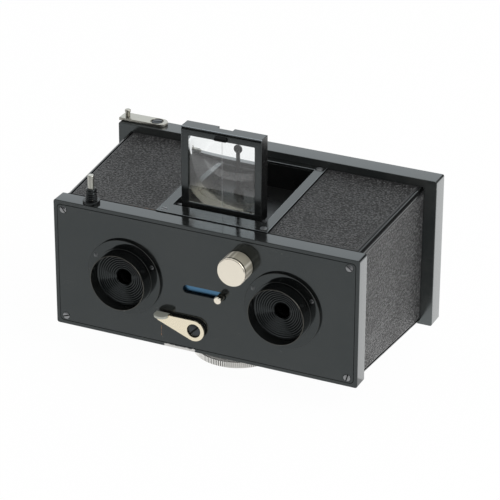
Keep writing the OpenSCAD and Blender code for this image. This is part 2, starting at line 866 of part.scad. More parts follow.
module release_plunger() {
  tail_z = spring_seat_z - release_tail;
  color(nickel) translate([release_x, release_y, 0]) {
    translate([0, 0, tail_z]) cylinder(h = case_h + release_reach - 0.3 - tail_z, r = release_r);
    translate([0, 0, case_h + release_reach - 0.3]) cylinder(h = 0.3, r1 = release_r, r2 = release_r - 0.3);
    translate([0, 0, release_flange_z]) cylinder(h = release_flange_t, r = release_flange_r);
  }
}

// Bracket on the case's back wall that carries the spring
module spring_seat() {
  front = release_y - release_flange_r;
  color(brass) difference() {
    translate([release_x - spring_seat_w / 2, front, spring_seat_z])
      cube([spring_seat_w, back_y - front, spring_seat_t]);
    translate([release_x, release_y, spring_seat_z - cut])
      cylinder(h = spring_seat_t + 2 * cut, r = release_r + run_gap);
  }
}

// Point at the middle of the wire, k rings along the coil
function spring_point(k) =
  let (share = k / (spring_turns * spring_rings), a = 360 * k / spring_rings)
    [spring_mean_r * cos(a), spring_mean_r * sin(a), spring_low_z + share * (spring_high_z - spring_low_z)];

// Ring of the wire's skin about that point
function spring_ring(k) =
  let (a = 360 * k / spring_rings, p = spring_point(k))
    [for (j = [0:spring_sides - 1])
      let (b = 360 * j / spring_sides, out = spring_wire_r * cos(b))
        [p.x + out * cos(a), p.y + out * sin(a), p.z + spring_wire_r * sin(b)]];

module release_spring() {
  last = spring_turns * spring_rings;
  skin = [for (k = [0:last]) each spring_ring(k)];
  walls = [for (k = [0:last - 1], j = [0:spring_sides - 1])
    let (a = k * spring_sides + j, b = k * spring_sides + (j + 1) % spring_sides)
      each [[a, b, b + spring_sides], [a, b + spring_sides, a + spring_sides]]];
  starts = [for (j = [1:spring_sides - 2]) [0, j + 1, j]];
  ends = [for (j = [1:spring_sides - 2])
    [last * spring_sides, last * spring_sides + j, last * spring_sides + j + 1]];
  gap = min([for (k = [0:last - spring_rings])
    norm(spring_point(k + spring_rings) - spring_point(k)) - 2 * spring_wire_r]);
  echo(release_spring_least_gap = gap);
  color(steel) translate([release_x, release_y, 0]) polyhedron(skin, concat(walls, starts, ends), 2);
}

// Tapered box between the front case and the rear frame, drawn in by a margin on every side
module taper(margin, r, over) {
  more_w = (body_rear_w - body_front_w) * over / body_len - 2 * margin;
  less_w = (body_front_w - body_rear_w) * over / body_len - 2 * margin;
  more_h = (body_rear_h - case_h) * over / body_len - 2 * margin;
  less_h = (case_h - body_rear_h) * over / body_len - 2 * margin;
  hull() {
    at_lens_height() slab(case_t - over, 0.01)
      rounded(body_front_w + less_w, case_h + less_h, r, $fn = 32);
    at_lens_height() slab(body_end + over - 0.01, 0.01)
      rounded(body_rear_w + more_w, body_rear_h + more_h, r, $fn = 32);
  }
}

// Mitred seam of the shell's walls along one long corner
module corner_seam(side, level) {
  hull() {
    at_lens_height() slab(case_t - cut, 0.01) translate([side * body_front_w / 2, level * case_h / 2])
      rotate(side * level * 45) square([8, shell_seam], center = true);
    at_lens_height() slab(body_end + cut, 0.01) translate([side * body_rear_w / 2, level * body_rear_h / 2])
      rotate(side * level * 45) square([8, shell_seam], center = true);
  }
}

// Bare metal along one long corner, level with the leather beside it
module corner_strip(side, level) {
  size = corner_w - seat_gap;
  hull() {
    at_lens_height() slab(case_t, 0.01)
      translate([side * (body_front_w - size) / 2, level * (case_h - size) / 2])
        rounded(size, size, corner_r, $fn = 16);
    at_lens_height() slab(body_end - 0.01, 0.01)
      translate([side * (body_rear_w - size) / 2, level * (body_rear_h - size) / 2])
        rounded(size, size, corner_r, $fn = 16);
  }
}

// Top, bottom and two sides of sheet metal, joined along the mitred corners
module body_shell() {
  color(enamel) difference() {
    union() {
      taper(leather_t, shell_r, 0);
      for (side = [-1, 1], level = [-1, 1]) corner_strip(side, level);
    }
    for (side = [-1, 1], level = [-1, 1]) corner_seam(side, level);
    taper(leather_t + shell_t, shell_r / 2, cut);
    translate([-tray_w / 2 - seat_gap, well_front - tray_t - seat_gap, lens_z])
      cube([tray_w + 2 * seat_gap, well_len + 2 * tray_t + 2 * seat_gap, case_h]);
    translate([0, foot_setback, bush_low_z]) cylinder(h = bush_top_z - bush_low_z, r = bush_r + seat_gap);
  }
}

// Leather beside the bezel, on the right of the top
module top_leather() {
  inner = bezel_w / 2 + seat_gap;
  front = body_front_w / 2 - corner_w;
  rear = body_rear_w / 2 - corner_w;
  color(hide) on_top() translate([0, 0, -leather_t + seat_gap]) linear_extrude(leather_t - seat_gap)
    polygon([[inner, sheet_end], [front, sheet_end],
      [rear, top_len - sheet_end], [inner, top_len - sheet_end]]);
}

module side_leather() {
  front = case_h / 2 - corner_w;
  rear = body_rear_h / 2 - corner_w;
  color(hide) translate([body_front_w / 2, case_t, lens_z]) rotate([0, 0, -side_tilt])
    sheet_x(-leather_t + seat_gap, leather_t - seat_gap)
      polygon([[sheet_end, -front], [side_len - sheet_end, -rear],
        [side_len - sheet_end, rear], [sheet_end, front]]);
}

module bottom_leather() {
  front = body_front_w / 2 - corner_w;
  rear = body_rear_w / 2 - corner_w;
  color(hide) difference() {
    translate([0, case_t, 0]) rotate([-top_tilt, 0, 0]) linear_extrude(leather_t - seat_gap)
      polygon([[-front, sheet_end], [front, sheet_end],
        [rear, top_len - sheet_end], [-rear, top_len - sheet_end]]);
    translate([0, foot_setback, bush_low_z]) cylinder(h = bush_top_z - bush_low_z, r = bush_r + seat_gap);
  }
}

// Wall between the two dark chambers, cut out round the tripod bush
module septum() {
  low_front = leather_t + shell_t + seat_gap;
  low_rear = lens_z - body_rear_h / 2 + low_front;
  high = well_floor - tray_t - seat_gap;
  color(satin) difference() {
    sheet_x(-septum_t / 2, septum_t)
      polygon([[case_t, low_front], [body_end, low_rear], [body_end, high], [case_t, high]]);
    translate([0, foot_setback, low_rear - cut])
      cylinder(h = bush_top_z + seat_gap - low_rear + cut, r = bush_nut_r + seat_gap);
  }
}

module at_bezel_screws() {
  for (side = [-1, 1], y = [bezel_screw_inset, top_len - bezel_screw_inset])
    translate([side * (bezel_w / 2 - bezel_screw_inset), y, 0]) children();
}

module finder_bezel() {
  base = -leather_t + seat_gap;
  color(enamel) on_top() difference() {
    translate([-bezel_w / 2, sheet_end, base]) cube([bezel_w, top_len - 2 * sheet_end, bezel_rise - base]);
    translate([-well_w / 2, (well_front - case_t) / cos(top_tilt), base - cut])
      cube([well_w, well_len / cos(top_tilt), bezel_rise - base + 2 * cut]);
    at_bezel_screws() {
      translate([0, 0, base - cut]) cylinder(h = bezel_rise - base + 2 * cut, r = bezel_screw_r + seat_gap);
      translate([0, 0, bezel_rise - bezel_head_t])
        cylinder(h = bezel_head_t + cut, r = bezel_head_r + seat_gap);
    }
  }
}

module bezel_screws() {
  color(satin) on_top() at_bezel_screws() {
    difference() {
      translate([0, 0, bezel_rise - bezel_head_t]) cylinder(h = bezel_head_t + 0.1, r = bezel_head_r);
      translate([-bezel_head_r - cut, -screw_slot_w / 2, bezel_rise - bezel_head_t / 2])
        cube([2 * (bezel_head_r + cut), screw_slot_w, bezel_head_t + cut]);
    }
    translate([0, 0, seat_gap - leather_t])
      cylinder(h = leather_t - seat_gap + bezel_rise - bezel_head_t, r = bezel_screw_r);
  }
}

// Sheet tray under the bezel, trimmed to the slope of the top
module finder_tray() {
  base = well_floor - tray_t;
  color(satin) difference() {
    translate([-tray_w / 2, well_front - tray_t, base])
      cube([tray_w, well_len + 2 * tray_t, case_h + body_rear_h - base]);
    translate([-well_w / 2, well_front, well_floor]) cube([well_w, well_len, case_h + body_rear_h]);
    on_top() translate([-tray_w, -case_t, -leather_t]) cube([2 * tray_w, 2 * body_len, 2 * body_rear_h]);
    translate([0, hinge_y, hinge_z]) rod_x(-tray_w, 2 * tray_w, hinge_pin_r + seat_gap);
  }
}

module finder_hinge_pins() {
  inner = finder_w / 2 - finder_sheet - 0.4;
  color(steel)
    for (side = [0, 1]) mirror([side, 0, 0])
      translate([0, hinge_y, hinge_z]) rod_x(inner, tray_w / 2 - inner, hinge_pin_r);
}

// Folded sheet frame: front face with a window, flanges behind it, and an ear at each hinge
module finder_frame() {
  middle = (finder_z + finder_top) / 2;
  inside_w = finder_w - 2 * finder_sheet;
  color(enamel) difference() {
    union() {
      translate([-finder_w / 2, finder_y, finder_z]) cube([finder_w, finder_t, finder_h]);
      for (side = [0, 1]) mirror([side, 0, 0])
        translate([0, hinge_y, hinge_z]) rod_x(inside_w / 2, finder_sheet, hinge_ear_r);
    }
    translate([-inside_w / 2, finder_y + finder_sheet, finder_z - cut])
      cube([inside_w, finder_t, finder_h - finder_sheet + cut]);
    translate([-finder_w / 2 + finder_bar, finder_y - cut, finder_z + finder_bar])
      cube([finder_w - 2 * finder_bar, finder_sheet + 2 * cut, finder_h - finder_bar - finder_top_bar]);
    translate([-finder_notch_w / 2, finder_back - finder_notch_d, middle])
      cube([finder_notch_w, finder_t, finder_h]);
    translate([-finder_w, finder_y - cut, finder_top - finder_seam_drop])
      cube([2 * finder_w, cut + finder_seam_d, finder_seam_d]);
    translate([0, hinge_y, hinge_z]) rod_x(-finder_w, 2 * finder_w, hinge_pin_r + run_gap);
  }
}

// Negative lens: flat in front, hollow behind
module finder_glass() {
  glass_y = finder_y + finder_sheet + seat_gap;
  low = finder_top - finder_sheet - seat_gap - finder_glass_h;
  color(clear) difference() {
    translate([-finder_glass_w / 2, glass_y, low]) cube([finder_glass_w, finder_glass_t, finder_glass_h]);
    translate([0, glass_y + finder_glass_thin + finder_glass_curve, low + finder_glass_h / 2])
      sphere(finder_glass_curve, $fn = 512);
  }
}

// Catch in the middle of the top bar
module finder_catch() {
  top = finder_top - 1.4;
  low = top - catch_h;
  color(satin) sheet_x(-catch_w / 2, catch_w)
    polygon([[finder_y, top], [finder_y - catch_reach, top - 0.7], [finder_y - catch_reach, low + 0.3],
      [finder_y - catch_reach + 0.3, low], [finder_y, low]]);
}

module sight_bracket() {
  inner = sight_eye_w / 2 + slide_gap;
  color(satin) difference() {
    for (side = [0, 1]) mirror([side, 0, 0]) translate([inner, sight_y, 0]) {
      translate([0, -sight_ear_w / 2, well_floor]) cube([sight_ear_t, sight_ear_w, sight_z - well_floor]);
      translate([0, 0, sight_z]) rod_x(0, sight_ear_t, sight_ear_w / 2);
    }
    translate([0, sight_y, sight_z]) rod_x(-sight_eye_w, 2 * sight_eye_w, sight_pin_r + seat_gap);
  }
}

module sight_pin() {
  half = sight_eye_w / 2 + slide_gap + sight_ear_t;
  color(steel) translate([0, sight_y, sight_z]) rod_x(-half, 2 * half, sight_pin_r);
}

// Flat tube on the hinge eye of the sight, in which the stalk slides
module sight_tube() {
  color(satin) translate([0, sight_y, sight_z]) difference() {
    union() {
      rod_x(-sight_eye_w / 2, sight_eye_w, sight_eye_r);
      translate([-sight_tube_w / 2, -sight_tube_t / 2, 0])
        cube([sight_tube_w, sight_tube_t, sight_tube_len]);
    }
    rod_x(-sight_eye_w, 2 * sight_eye_w, sight_pin_r + run_gap);
    translate([-sight_stalk_w / 2 - slide_gap, -sight_stalk_t / 2 - slide_gap, sight_eye_r + slide_gap])
      cube([sight_stalk_w + 2 * slide_gap, sight_stalk_t + 2 * slide_gap, sight_tube_len]);
  }
}

// Peep sight: flat stalk and pierced disc
module sight_stalk() {
  color(satin) translate([0, sight_y, sight_z]) difference() {
    union() {
      translate([-sight_stalk_w / 2, -sight_stalk_t / 2, sight_low])
        cube([sight_stalk_w, sight_stalk_t, sight_h - sight_low]);
      translate([0, 0, sight_h]) rod_y(-sight_stalk_t / 2, sight_stalk_t, sight_disc_r);
    }
    translate([0, 0, sight_h]) rod_y(-cut, 2 * cut, sight_hole_r);
  }
}

// Frame with two windows in front, a channel for the plate holder and lips behind it
module rear_frame() {
  channel_h = holder_h + 2 * slide_gap;
  left = -frame_w / 2 - cut;
  channel_w = frame_w - frame_end + cut;
  color(enamel) difference() {
    translate([0, 0, frame_z]) slab(body_end, frame_t) rounded(frame_w, frame_h, frame_r);
    translate([left, body_end + frame_wall, lens_z - channel_h / 2])
      cube([channel_w, frame_t - 2 * frame_wall, channel_h]);
    translate([left, body_end + frame_wall, lens_z - holder_h / 2 + frame_lip])
      cube([channel_w - frame_lip, frame_t, holder_h - 2 * frame_lip]);
    for (side = [0, 1]) mirror([side, 0, 0])
      translate([mullion_w / 2, body_end - cut, lens_z - window_h / 2])
        cube([window_w - mullion_w / 2, frame_wall + 2 * cut, window_h]);
    translate([latch_pivot_x, latch_y, frame_top - latch_screw_len])
      cylinder(h = latch_screw_len + cut, r = latch_shoulder_r - 0.4 + seat_gap);
  }
}

// Tray for the plate with a groove for the dark slide, open to the left
module plate_holder() {
  left = -frame_w / 2;
  recess_w = plate_w + 2 * plate_gap;
  recess_h = plate_h + 2 * plate_gap;
  groove_h = slide_h + 2 * slide_gap;
  color(satin) difference() {
    translate([left, holder_y, lens_z - holder_h / 2]) cube([holder_x - left, holder_t, holder_h]);
    translate([-recess_w / 2, holder_y - cut, lens_z - recess_h / 2])
      cube([recess_w, holder_t - holder_back_t + cut, recess_h]);
    translate([left - cut, slide_y - slide_gap_y, lens_z - groove_h / 2])
      cube([slide_x + slide_gap - left + cut, slide_t + 2 * slide_gap_y, groove_h]);
  }
}

module glass_plate() {
  color(clear) translate([-plate_w / 2, plate_y, lens_z - plate_h / 2]) cube([plate_w, plate_t, plate_h]);
}

// Bowed leaf that presses the plate forwards
module plate_spring() {
  low = plate_y + plate_t + 0.02;
  high = holder_y + holder_t - holder_back_t - 0.02;
  half = spring_leaf_w / 2;
  color(steel) translate([0, 0, lens_z - spring_leaf_h / 2]) linear_extrude(spring_leaf_h)
    polygon([[-half, high - spring_leaf_t], [0, low], [half, high - spring_leaf_t], [half, high],
      [0, low + spring_leaf_t], [-half, high]]);
}

module dark_slide() {
  left = -frame_w / 2;
  color(steel) {
    translate([left, slide_y, lens_z - slide_h / 2]) cube([slide_x - left, slide_t, slide_h]);
    at_lens_height() slab(slide_y, slide_t)
      translate([left - tab_len / 2 + 1, 0]) rounded(tab_len + 2, tab_h, 2);
    translate([left - tab_len + tab_rim_w, slide_y - (tab_rim_t - slide_t) / 2, lens_z - tab_h / 2 + 2])
      mirror([1, 0, 0]) cube([tab_rim_w, tab_rim_t, tab_h - 4]);
  }
}

module at_latch() {
  translate([latch_pivot_x, latch_y, latch_z]) children();
}

// Swing bar with a round nose at its pivot end
module latch_bar() {
  nose = latch_left + latch_len - latch_pivot_x - latch_w / 2;
  tail = latch_pivot_x - latch_left;
  color(nickel) at_latch() difference() {
    linear_extrude(latch_t) {
      translate([-tail, -latch_w / 2]) square([tail + nose, latch_w]);
      translate([nose, 0]) circle(d = latch_w);
    }
    translate([0, 0, -cut]) cylinder(h = latch_t + 2 * cut, r = latch_shoulder_r + run_gap);
    translate([0, 0, latch_t - latch_bore_d]) cylinder(h = latch_bore_d + cut, r = latch_bore_r);
    translate([latch_pin_x - latch_pivot_x, 0, -cut])
      cylinder(h = latch_t + 2 * cut, r = latch_pin_r - 0.3 + seat_gap);
  }
}

module latch_finger_pin() {
  color(nickel) translate([latch_pin_x, latch_y, latch_z]) {
    cylinder(h = latch_t, r = latch_pin_r - 0.3);
    translate([0, 0, latch_t]) cylinder(h = latch_pin_h - latch_pin_head_h, r = latch_pin_r);
    translate([0, 0, latch_t + latch_pin_h - latch_pin_head_h])
      cylinder(h = latch_pin_head_h - 0.3, r = latch_pin_head_r);
    translate([0, 0, latch_t + latch_pin_h - 0.3])
      cylinder(h = 0.3, r1 = latch_pin_head_r, r2 = latch_pin_head_r - 0.3);
  }
}

// Shouldered pivot screw, its head sunk in the latch bar
module latch_screw() {
  head_z = latch_t - latch_bore_d + slide_gap;
  color(steel) at_latch() {
    difference() {
      translate([0, 0, head_z]) cylinder(h = latch_head_t, r = latch_head_r);
      rotate(30) translate([-latch_head_r - cut, -screw_slot_w / 2, head_z + latch_head_t / 2])
        cube([2 * (latch_head_r + cut), screw_slot_w, latch_head_t]);
    }
    translate([0, 0, frame_top - latch_z]) cylinder(h = head_z + latch_z - frame_top, r = latch_shoulder_r);
    translate([0, 0, frame_top - latch_z - latch_screw_len + 0.2])
      cylinder(h = latch_screw_len - 0.2, r = latch_shoulder_r - 0.4);
  }
}

// Threaded bush in the bottom of the body
module tripod_bush() {
  collar_h = body_low_z - bush_collar_r * tan(top_tilt) - seat_gap - bush_low_z;
  color(nickel) translate([0, foot_setback, bush_low_z]) difference() {
    union() {
      cylinder(h = collar_h, r = bush_collar_r);
      cylinder(h = bush_top_z - bush_low_z, r = bush_r);
    }
    translate([0, 0, -cut]) cylinder(h = bush_thread_depth + cut, r = thread_r);
  }
}

// Ring nut that holds the bush from inside
module bush_nut() {
  color(brass) translate([0, foot_setback, bush_nut_z]) difference() {
    cylinder(h = bush_nut_t, r = bush_nut_r);
    translate([0, 0, -cut]) cylinder(h = bush_nut_t + 2 * cut, r = bush_r + seat_gap);
  }
}

// Knurled disc with its hub and stud, drilled for a tripod from below
module foot_disc() {
  hub_h = foot_drop + bush_low_z - hub_gap;
  plain_r = foot_r - knurl_depth - 0.2;
  knurl = [for (i = [0:2 * knurl_count - 1])
    let (r = foot_r - (i % 2) * knurl_depth, a = 180 * i / knurl_count) [r * cos(a), r * sin(a)]];
  color(nickel) translate([0, foot_setback, -foot_drop]) difference() {
    union() {
      cylinder(h = foot_chamfer, r1 = plain_r - foot_chamfer, r2 = plain_r);
      translate([0, 0, foot_chamfer]) linear_extrude(foot_t - 2 * foot_chamfer) polygon(knurl);
      translate([0, 0, foot_t - foot_chamfer])
        cylinder(h = foot_chamfer, r1 = plain_r, r2 = plain_r - foot_chamfer);
      cylinder(h = hub_h, r = hub_r);
      cylinder(h = hub_h + stud_len, r = thread_r - run_gap);
    }
    translate([0, 0, -cut]) cylinder(h = thread_depth + cut, r = thread_r);
  }
}

place() front_case();
place() front_panel();
place() panel_screws();
place() lens_flange(-1);  // left_lens_flange
place() lens_flange(1);  // right_lens_flange
place() flange_screws();
place() lens_barrel(-1);  // left_lens_barrel
place() lens_barrel(1);  // right_lens_barrel
place() front_glass(-1);  // left_front_glass
place() front_glass(1);  // right_front_glass
place() glass_rings();
place() rear_cell(-1);  // left_rear_cell
place() rear_cell(1);  // right_rear_cell
place() rear_glass(-1);  // left_rear_glass
place() rear_glass(1);  // right_rear_glass
place() slide_guides();
place() shutter_plate();
place() shutter_plate_screws();
place() lever_bush();
place() release_collar();
place() spring_seat();
place() release_spring();
place() body_shell();
place() mirror([1, 0, 0]) top_leather();  // left_top_leather
place() top_leather();  // right_top_leather
place() mirror([1, 0, 0]) side_leather();  // left_side_leather
place() side_leather();  // right_side_leather
place() bottom_leather();
place() septum();
place() finder_bezel();
place() bezel_screws();
place() finder_tray();
place() finder_hinge_pins();
place() sight_bracket();
place() sight_pin();
place() rear_frame();
place() latch_screw();
place() tripod_bush();
place() bush_nut();
place() release_plunger();
place() aperture_strip();
place() aperture_pin();
place() lever_plate();
place() lever_screw();
place() lever_crank();
place() shutter_bar();
place() speed_knob();
place() speed_cam();
place() finder_frame();
place() finder_glass();
place() finder_catch();
place() sight_tube();
place() sight_stalk();
place() latch_bar();
place() latch_finger_pin();
place() plate_holder();
place() glass_plate();
place() plate_spring();
place() dark_slide();
place() foot_disc();
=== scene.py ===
# Looks of the stereo plate camera: enamel, leather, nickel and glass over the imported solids.
# Lengths are in millimetres from the middle of the front panel's lower edge until seat() turns
# them into the frame's metres.
import json
import math

import bmesh
import bpy
from mathutils import Matrix, Vector, noise

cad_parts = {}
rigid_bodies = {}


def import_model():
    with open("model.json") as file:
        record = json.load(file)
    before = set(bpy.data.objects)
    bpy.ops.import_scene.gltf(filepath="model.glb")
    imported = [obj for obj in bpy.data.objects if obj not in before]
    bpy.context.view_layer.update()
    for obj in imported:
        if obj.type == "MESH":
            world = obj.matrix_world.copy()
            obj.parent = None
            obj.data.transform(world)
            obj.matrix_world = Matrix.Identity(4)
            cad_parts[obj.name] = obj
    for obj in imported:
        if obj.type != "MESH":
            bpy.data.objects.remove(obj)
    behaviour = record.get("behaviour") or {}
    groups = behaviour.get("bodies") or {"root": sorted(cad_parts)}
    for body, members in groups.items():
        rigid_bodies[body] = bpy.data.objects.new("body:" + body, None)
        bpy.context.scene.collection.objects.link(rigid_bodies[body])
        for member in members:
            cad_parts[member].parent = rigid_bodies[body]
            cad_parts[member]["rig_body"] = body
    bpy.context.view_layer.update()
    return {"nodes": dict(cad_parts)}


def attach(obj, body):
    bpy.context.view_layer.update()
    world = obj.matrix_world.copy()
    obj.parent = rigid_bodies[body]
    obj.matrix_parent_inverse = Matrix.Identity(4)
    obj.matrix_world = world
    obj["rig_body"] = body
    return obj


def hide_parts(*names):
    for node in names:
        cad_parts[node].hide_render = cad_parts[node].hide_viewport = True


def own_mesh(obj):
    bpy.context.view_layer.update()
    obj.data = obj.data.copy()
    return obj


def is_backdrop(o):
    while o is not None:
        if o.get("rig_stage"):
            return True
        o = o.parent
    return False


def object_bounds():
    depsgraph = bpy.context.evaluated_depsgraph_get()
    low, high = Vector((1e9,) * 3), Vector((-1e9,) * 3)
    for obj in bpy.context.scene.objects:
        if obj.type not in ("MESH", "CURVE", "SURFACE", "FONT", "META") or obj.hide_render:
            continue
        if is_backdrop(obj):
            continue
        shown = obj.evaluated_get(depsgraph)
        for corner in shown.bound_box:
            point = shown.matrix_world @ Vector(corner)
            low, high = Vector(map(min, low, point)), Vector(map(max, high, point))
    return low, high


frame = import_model()
scene = bpy.context.scene
scene.view_settings.view_transform = "Standard"

MM = 0.001
FOOT_AXIS_Y = 30.5
FOOT_FACE_Z = -12.0

# Case and body
LENS_X = 31.5
LENS_Z = 25.3
CASE_H = 50.6
CASE_T = 6.7
BODY_LEN = 54.7
BODY_END = CASE_T + BODY_LEN
BODY_FRONT_W = 116.8
BODY_REAR_W = 121.2
BODY_REAR_H = 56.0
SLOPE = (BODY_REAR_H - CASE_H) / 2 / BODY_LEN
FLARE = (BODY_REAR_W - BODY_FRONT_W) / 2 / BODY_LEN
CORNER_W = 1.7
CORNER_R = 0.5
ROUND_R = 1.45
LEATHER_T = 0.6
LEATHER_STEP = 0.9
LEATHER_ROLL = 0.34
LEATHER_ROLL_W = 0.45
LEATHER_SKIRT = LEATHER_T - 0.38
SEAM_RUB_X = -26.5
SEAM_RUB_HALF = 8.0
SEAM_RUB_DEEP = 0.9
BEZEL_W = 44.0

# Front panel, lenses, lever, knob and release
PANEL_SCREW_X = 56.5
PANEL_SCREW_LOW = 3.5
PANEL_SCREW_HIGH = 47.1
FLANGE_IN = 10.9
FLANGE_STEP = 11.5
FLANGE_OUT = 14.7
FLANGE_H = 1.2
FLANGE_STEP_H = 1.7
FLANGE_SCREW_R = 13.1
FLANGE_SCREW_START = 29
HOOD_MOUTH_Y = -6.0
LEVER_X = -3.05
LEVER_Z = 9.9
LEVER_FACE = 2.15
KNOB_X = 14.2
KNOB_Z = 39.5
KNOB_GROOVE_R = 5.35
KNOB_GROOVE_FRONT = -6.2
KNOB_GROOVE_BACK = -5.7
RELEASE_X = -46.5
COLLAR_BORE_R = 1.28
COLLAR_BASE_R = 3.2
COLLAR_BASE_H = 1.1
COLLAR_H = 5.68
THREAD_R = 2.33
THREAD_NARROWS = 0.35
THREAD_LEN = 4.2
THREAD_TURNS = 4
THREAD_START = 1.35
THREAD_PITCH = 0.72
THREAD_DEPTH = 0.34

# Finder, latch and foot
BEZEL_SCREW_X = 19.7
BEZEL_SCREW_IN = 2.3
FINDER_HALF_W = 15.85
FINDER_TOP = 81.5
# Where the finder frame's painted highlight line runs along its top front edges.
FINDER_SHEEN_LOW = 81.6
FINDER_SHEEN_BACK = 15.6
SIGHT_DISC_R = 2.3
GLASS_FRONT = 16.13
GLASS_LOW = 50.98
GLASS_W = 29.6
GLASS_H = 30.1
GLASS_T = 4.4
GLASS_THIN = 0.4
GLASS_CURVE = 38.0
LINE_HALF_W = 0.07
LINE_SHORT = 0.6
LATCH_PIVOT = (-50.9, 65.8, 56.1)
BUSH_HOLE_R = 9.2

# Marks in the materials, in millimetres of the frame itself
STRIP_LEFT = -16.0
STRIP_RIGHT = -3.5
STRIP_TOP = 13.05
STRIP_BACK = -29.1
CHIPS_TOP = 12.65
SCRATCH_X = -17.05
SCRATCH_LOW = 16.1
SCRATCH_HIGH = 20.2
SCRATCH_HALF = 0.105
KNURL_PLAIN_R = 16.79
KNURL_ROOT_R = 16.87
KNURL_CREST_R = 17.09
# Height where the finder glass edge's painted light turns to painted shade.
PAINTED_LIGHT_EDGE_TOP = 67.25

FRONT = Vector((0, -1, 0))
UP = Vector((0, 0, 1))


def seat(x, y, z):
    """Point of the frame, in metres, for a place on the camera in millimetres."""
    return Vector((x, y - FOOT_AXIS_Y, z - FOOT_FACE_Z)) * MM


# Node trees

def put(tree, kind, options=None, inputs=None):
    """Adds a node. Each input is a value, or the output of another node."""
    made = tree.nodes.new(kind)
    for key, value in (options or {}).items():
        setattr(made, key, value)
    for key, value in (inputs or {}).items():
        if isinstance(value, bpy.types.NodeSocket):
            tree.links.new(value, made.inputs[key])
        else:
            made.inputs[key].default_value = value
    return made


def reckon(tree, operation, a, b=0.0):
    return put(tree, "ShaderNodeMath", {"operation": operation}, {0: a, 1: b}).outputs[0]


def times(tree, a, b):
    return reckon(tree, "MULTIPLY", a, b)


def plus(tree, a, b):
    return reckon(tree, "ADD", a, b)


def between(tree, value, low, high, to_low=0.0, to_high=1.0):
    """Smooth step from low to high."""
    stretched = put(tree, "ShaderNodeMapRange", {"interpolation_type": "SMOOTHSTEP"},
                    {"Value": value, "From Min": low, "From Max": high,
                     "To Min": to_low, "To Max": to_high})
    return stretched.outputs[0]


def above(tree, value, level, soft):
    """Mask of the places past a level, with the level and its softness in millimetres."""
    return between(tree, value, (level - soft) * MM, (level + soft) * MM)


def below(tree, value, level, soft):
    """Mask of the places short of a level, with the level and its softness in millimetres."""
    return between(tree, value, (level - soft) * MM, (level + soft) * MM, 1.0, 0.0)


def mix_values(tree, share, a, b):
    return put(tree, "ShaderNodeMix", {"data_type": "FLOAT"}, {0: share, 2: a, 3: b}).outputs[0]


def mix_colours(tree, share, a, b):
    return put(tree, "ShaderNodeMix", {"data_type": "RGBA"}, {0: share, 6: a, 7: b}).outputs[2]


def cloudy(tree, where, scale, detail=4.0, rough=0.55):
    return put(tree, "ShaderNodeTexNoise", None,
               {"Vector": where, "Scale": scale, "Detail": detail, "Roughness": rough}).outputs["Fac"]


def place_of(tree):
    return put(tree, "ShaderNodeTexCoord").outputs["Object"]


def stretched_place(tree, where, scale, turn=(0, 0, 0)):
    return put(tree, "ShaderNodeMapping", None,
               {"Vector": where, "Scale": scale, "Rotation": turn}).outputs[0]


def new_group(name, inputs, outputs):
    group = bpy.data.node_groups.new(name, "ShaderNodeTree")
    for label, kind, value in inputs:
        socket = group.interface.new_socket(name=label, in_out="INPUT", socket_type=kind)
        socket.default_value = value
    for label in outputs:
        group.interface.new_socket(name=label, in_out="OUTPUT", socket_type="NodeSocketFloat")
    return group, group.nodes.new("NodeGroupInput"), group.nodes.new("NodeGroupOutput")


def place_group(tree, group, values):
    return put(tree, "ShaderNodeGroup", {"node_tree": group}, values).outputs


def make_edge_wear_and_sheen():
    """Chips along the faces that are marked as edges; at a full amount the same marks make painted
    highlight lines.
    """
    group, given, out = new_group("edge_wear_and_sheen", [("Amount", "NodeSocketFloat", 0.5),
                                                ("Scale", "NodeSocketFloat", 700.0)], ["Wear"])
    where = place_of(group)
    chips = cloudy(group, where, given.outputs["Scale"], 5.0, 0.65)
    patches = cloudy(group, where, 55.0, 2.0)
    level = plus(group, times(group, chips, 0.55), times(group, patches, 0.45))
    start = reckon(group, "SUBTRACT", 0.78, times(group, given.outputs["Amount"], 0.5))
    mark = between(group, level, start, plus(group, start, 0.05))
    edge = put(group, "ShaderNodeAttribute", {"attribute_name": "edge"}).outputs["Fac"]
    group.links.new(times(group, mark, edge), out.inputs["Wear"])
    return group


def make_handling():
    """Smudges, specks of dust and faint scratches."""
    group, given, out = new_group("handling", [("Scale", "NodeSocketFloat", 40.0)],
                                  ["Smudge", "Dust", "Scratch"])
    where = place_of(group)
    broad = cloudy(group, where, given.outputs["Scale"], 5.0, 0.6)
    fine = cloudy(group, where, times(group, given.outputs["Scale"], 7.0), 4.0, 0.6)
    smudge = plus(group, times(group, broad, 0.7), times(group, fine, 0.3))
    group.links.new(between(group, smudge, 0.35, 0.68), out.inputs["Smudge"])
    cells = put(group, "ShaderNodeTexVoronoi", None, {"Vector": where, "Scale": 420.0})
    near = between(group, cells.outputs["Distance"], 0.03, 0.09, 1.0, 0.0)
    chance = put(group, "ShaderNodeSeparateColor", None, {0: cells.outputs["Color"]}).outputs[0]
    chosen = between(group, chance, 0.86, 0.9)
    group.links.new(times(group, near, chosen), out.inputs["Dust"])
    lines = cloudy(group, stretched_place(group, where, (60, 60, 2600), (0.2, 0.5, 0.1)), 1.0, 2.0)
    gaps = cloudy(group, where, 150.0, 2.0)
    scratch = times(group, between(group, lines, 0.7, 0.74), between(group, gaps, 0.52, 0.62))
    group.links.new(scratch, out.inputs["Scratch"])
    return group


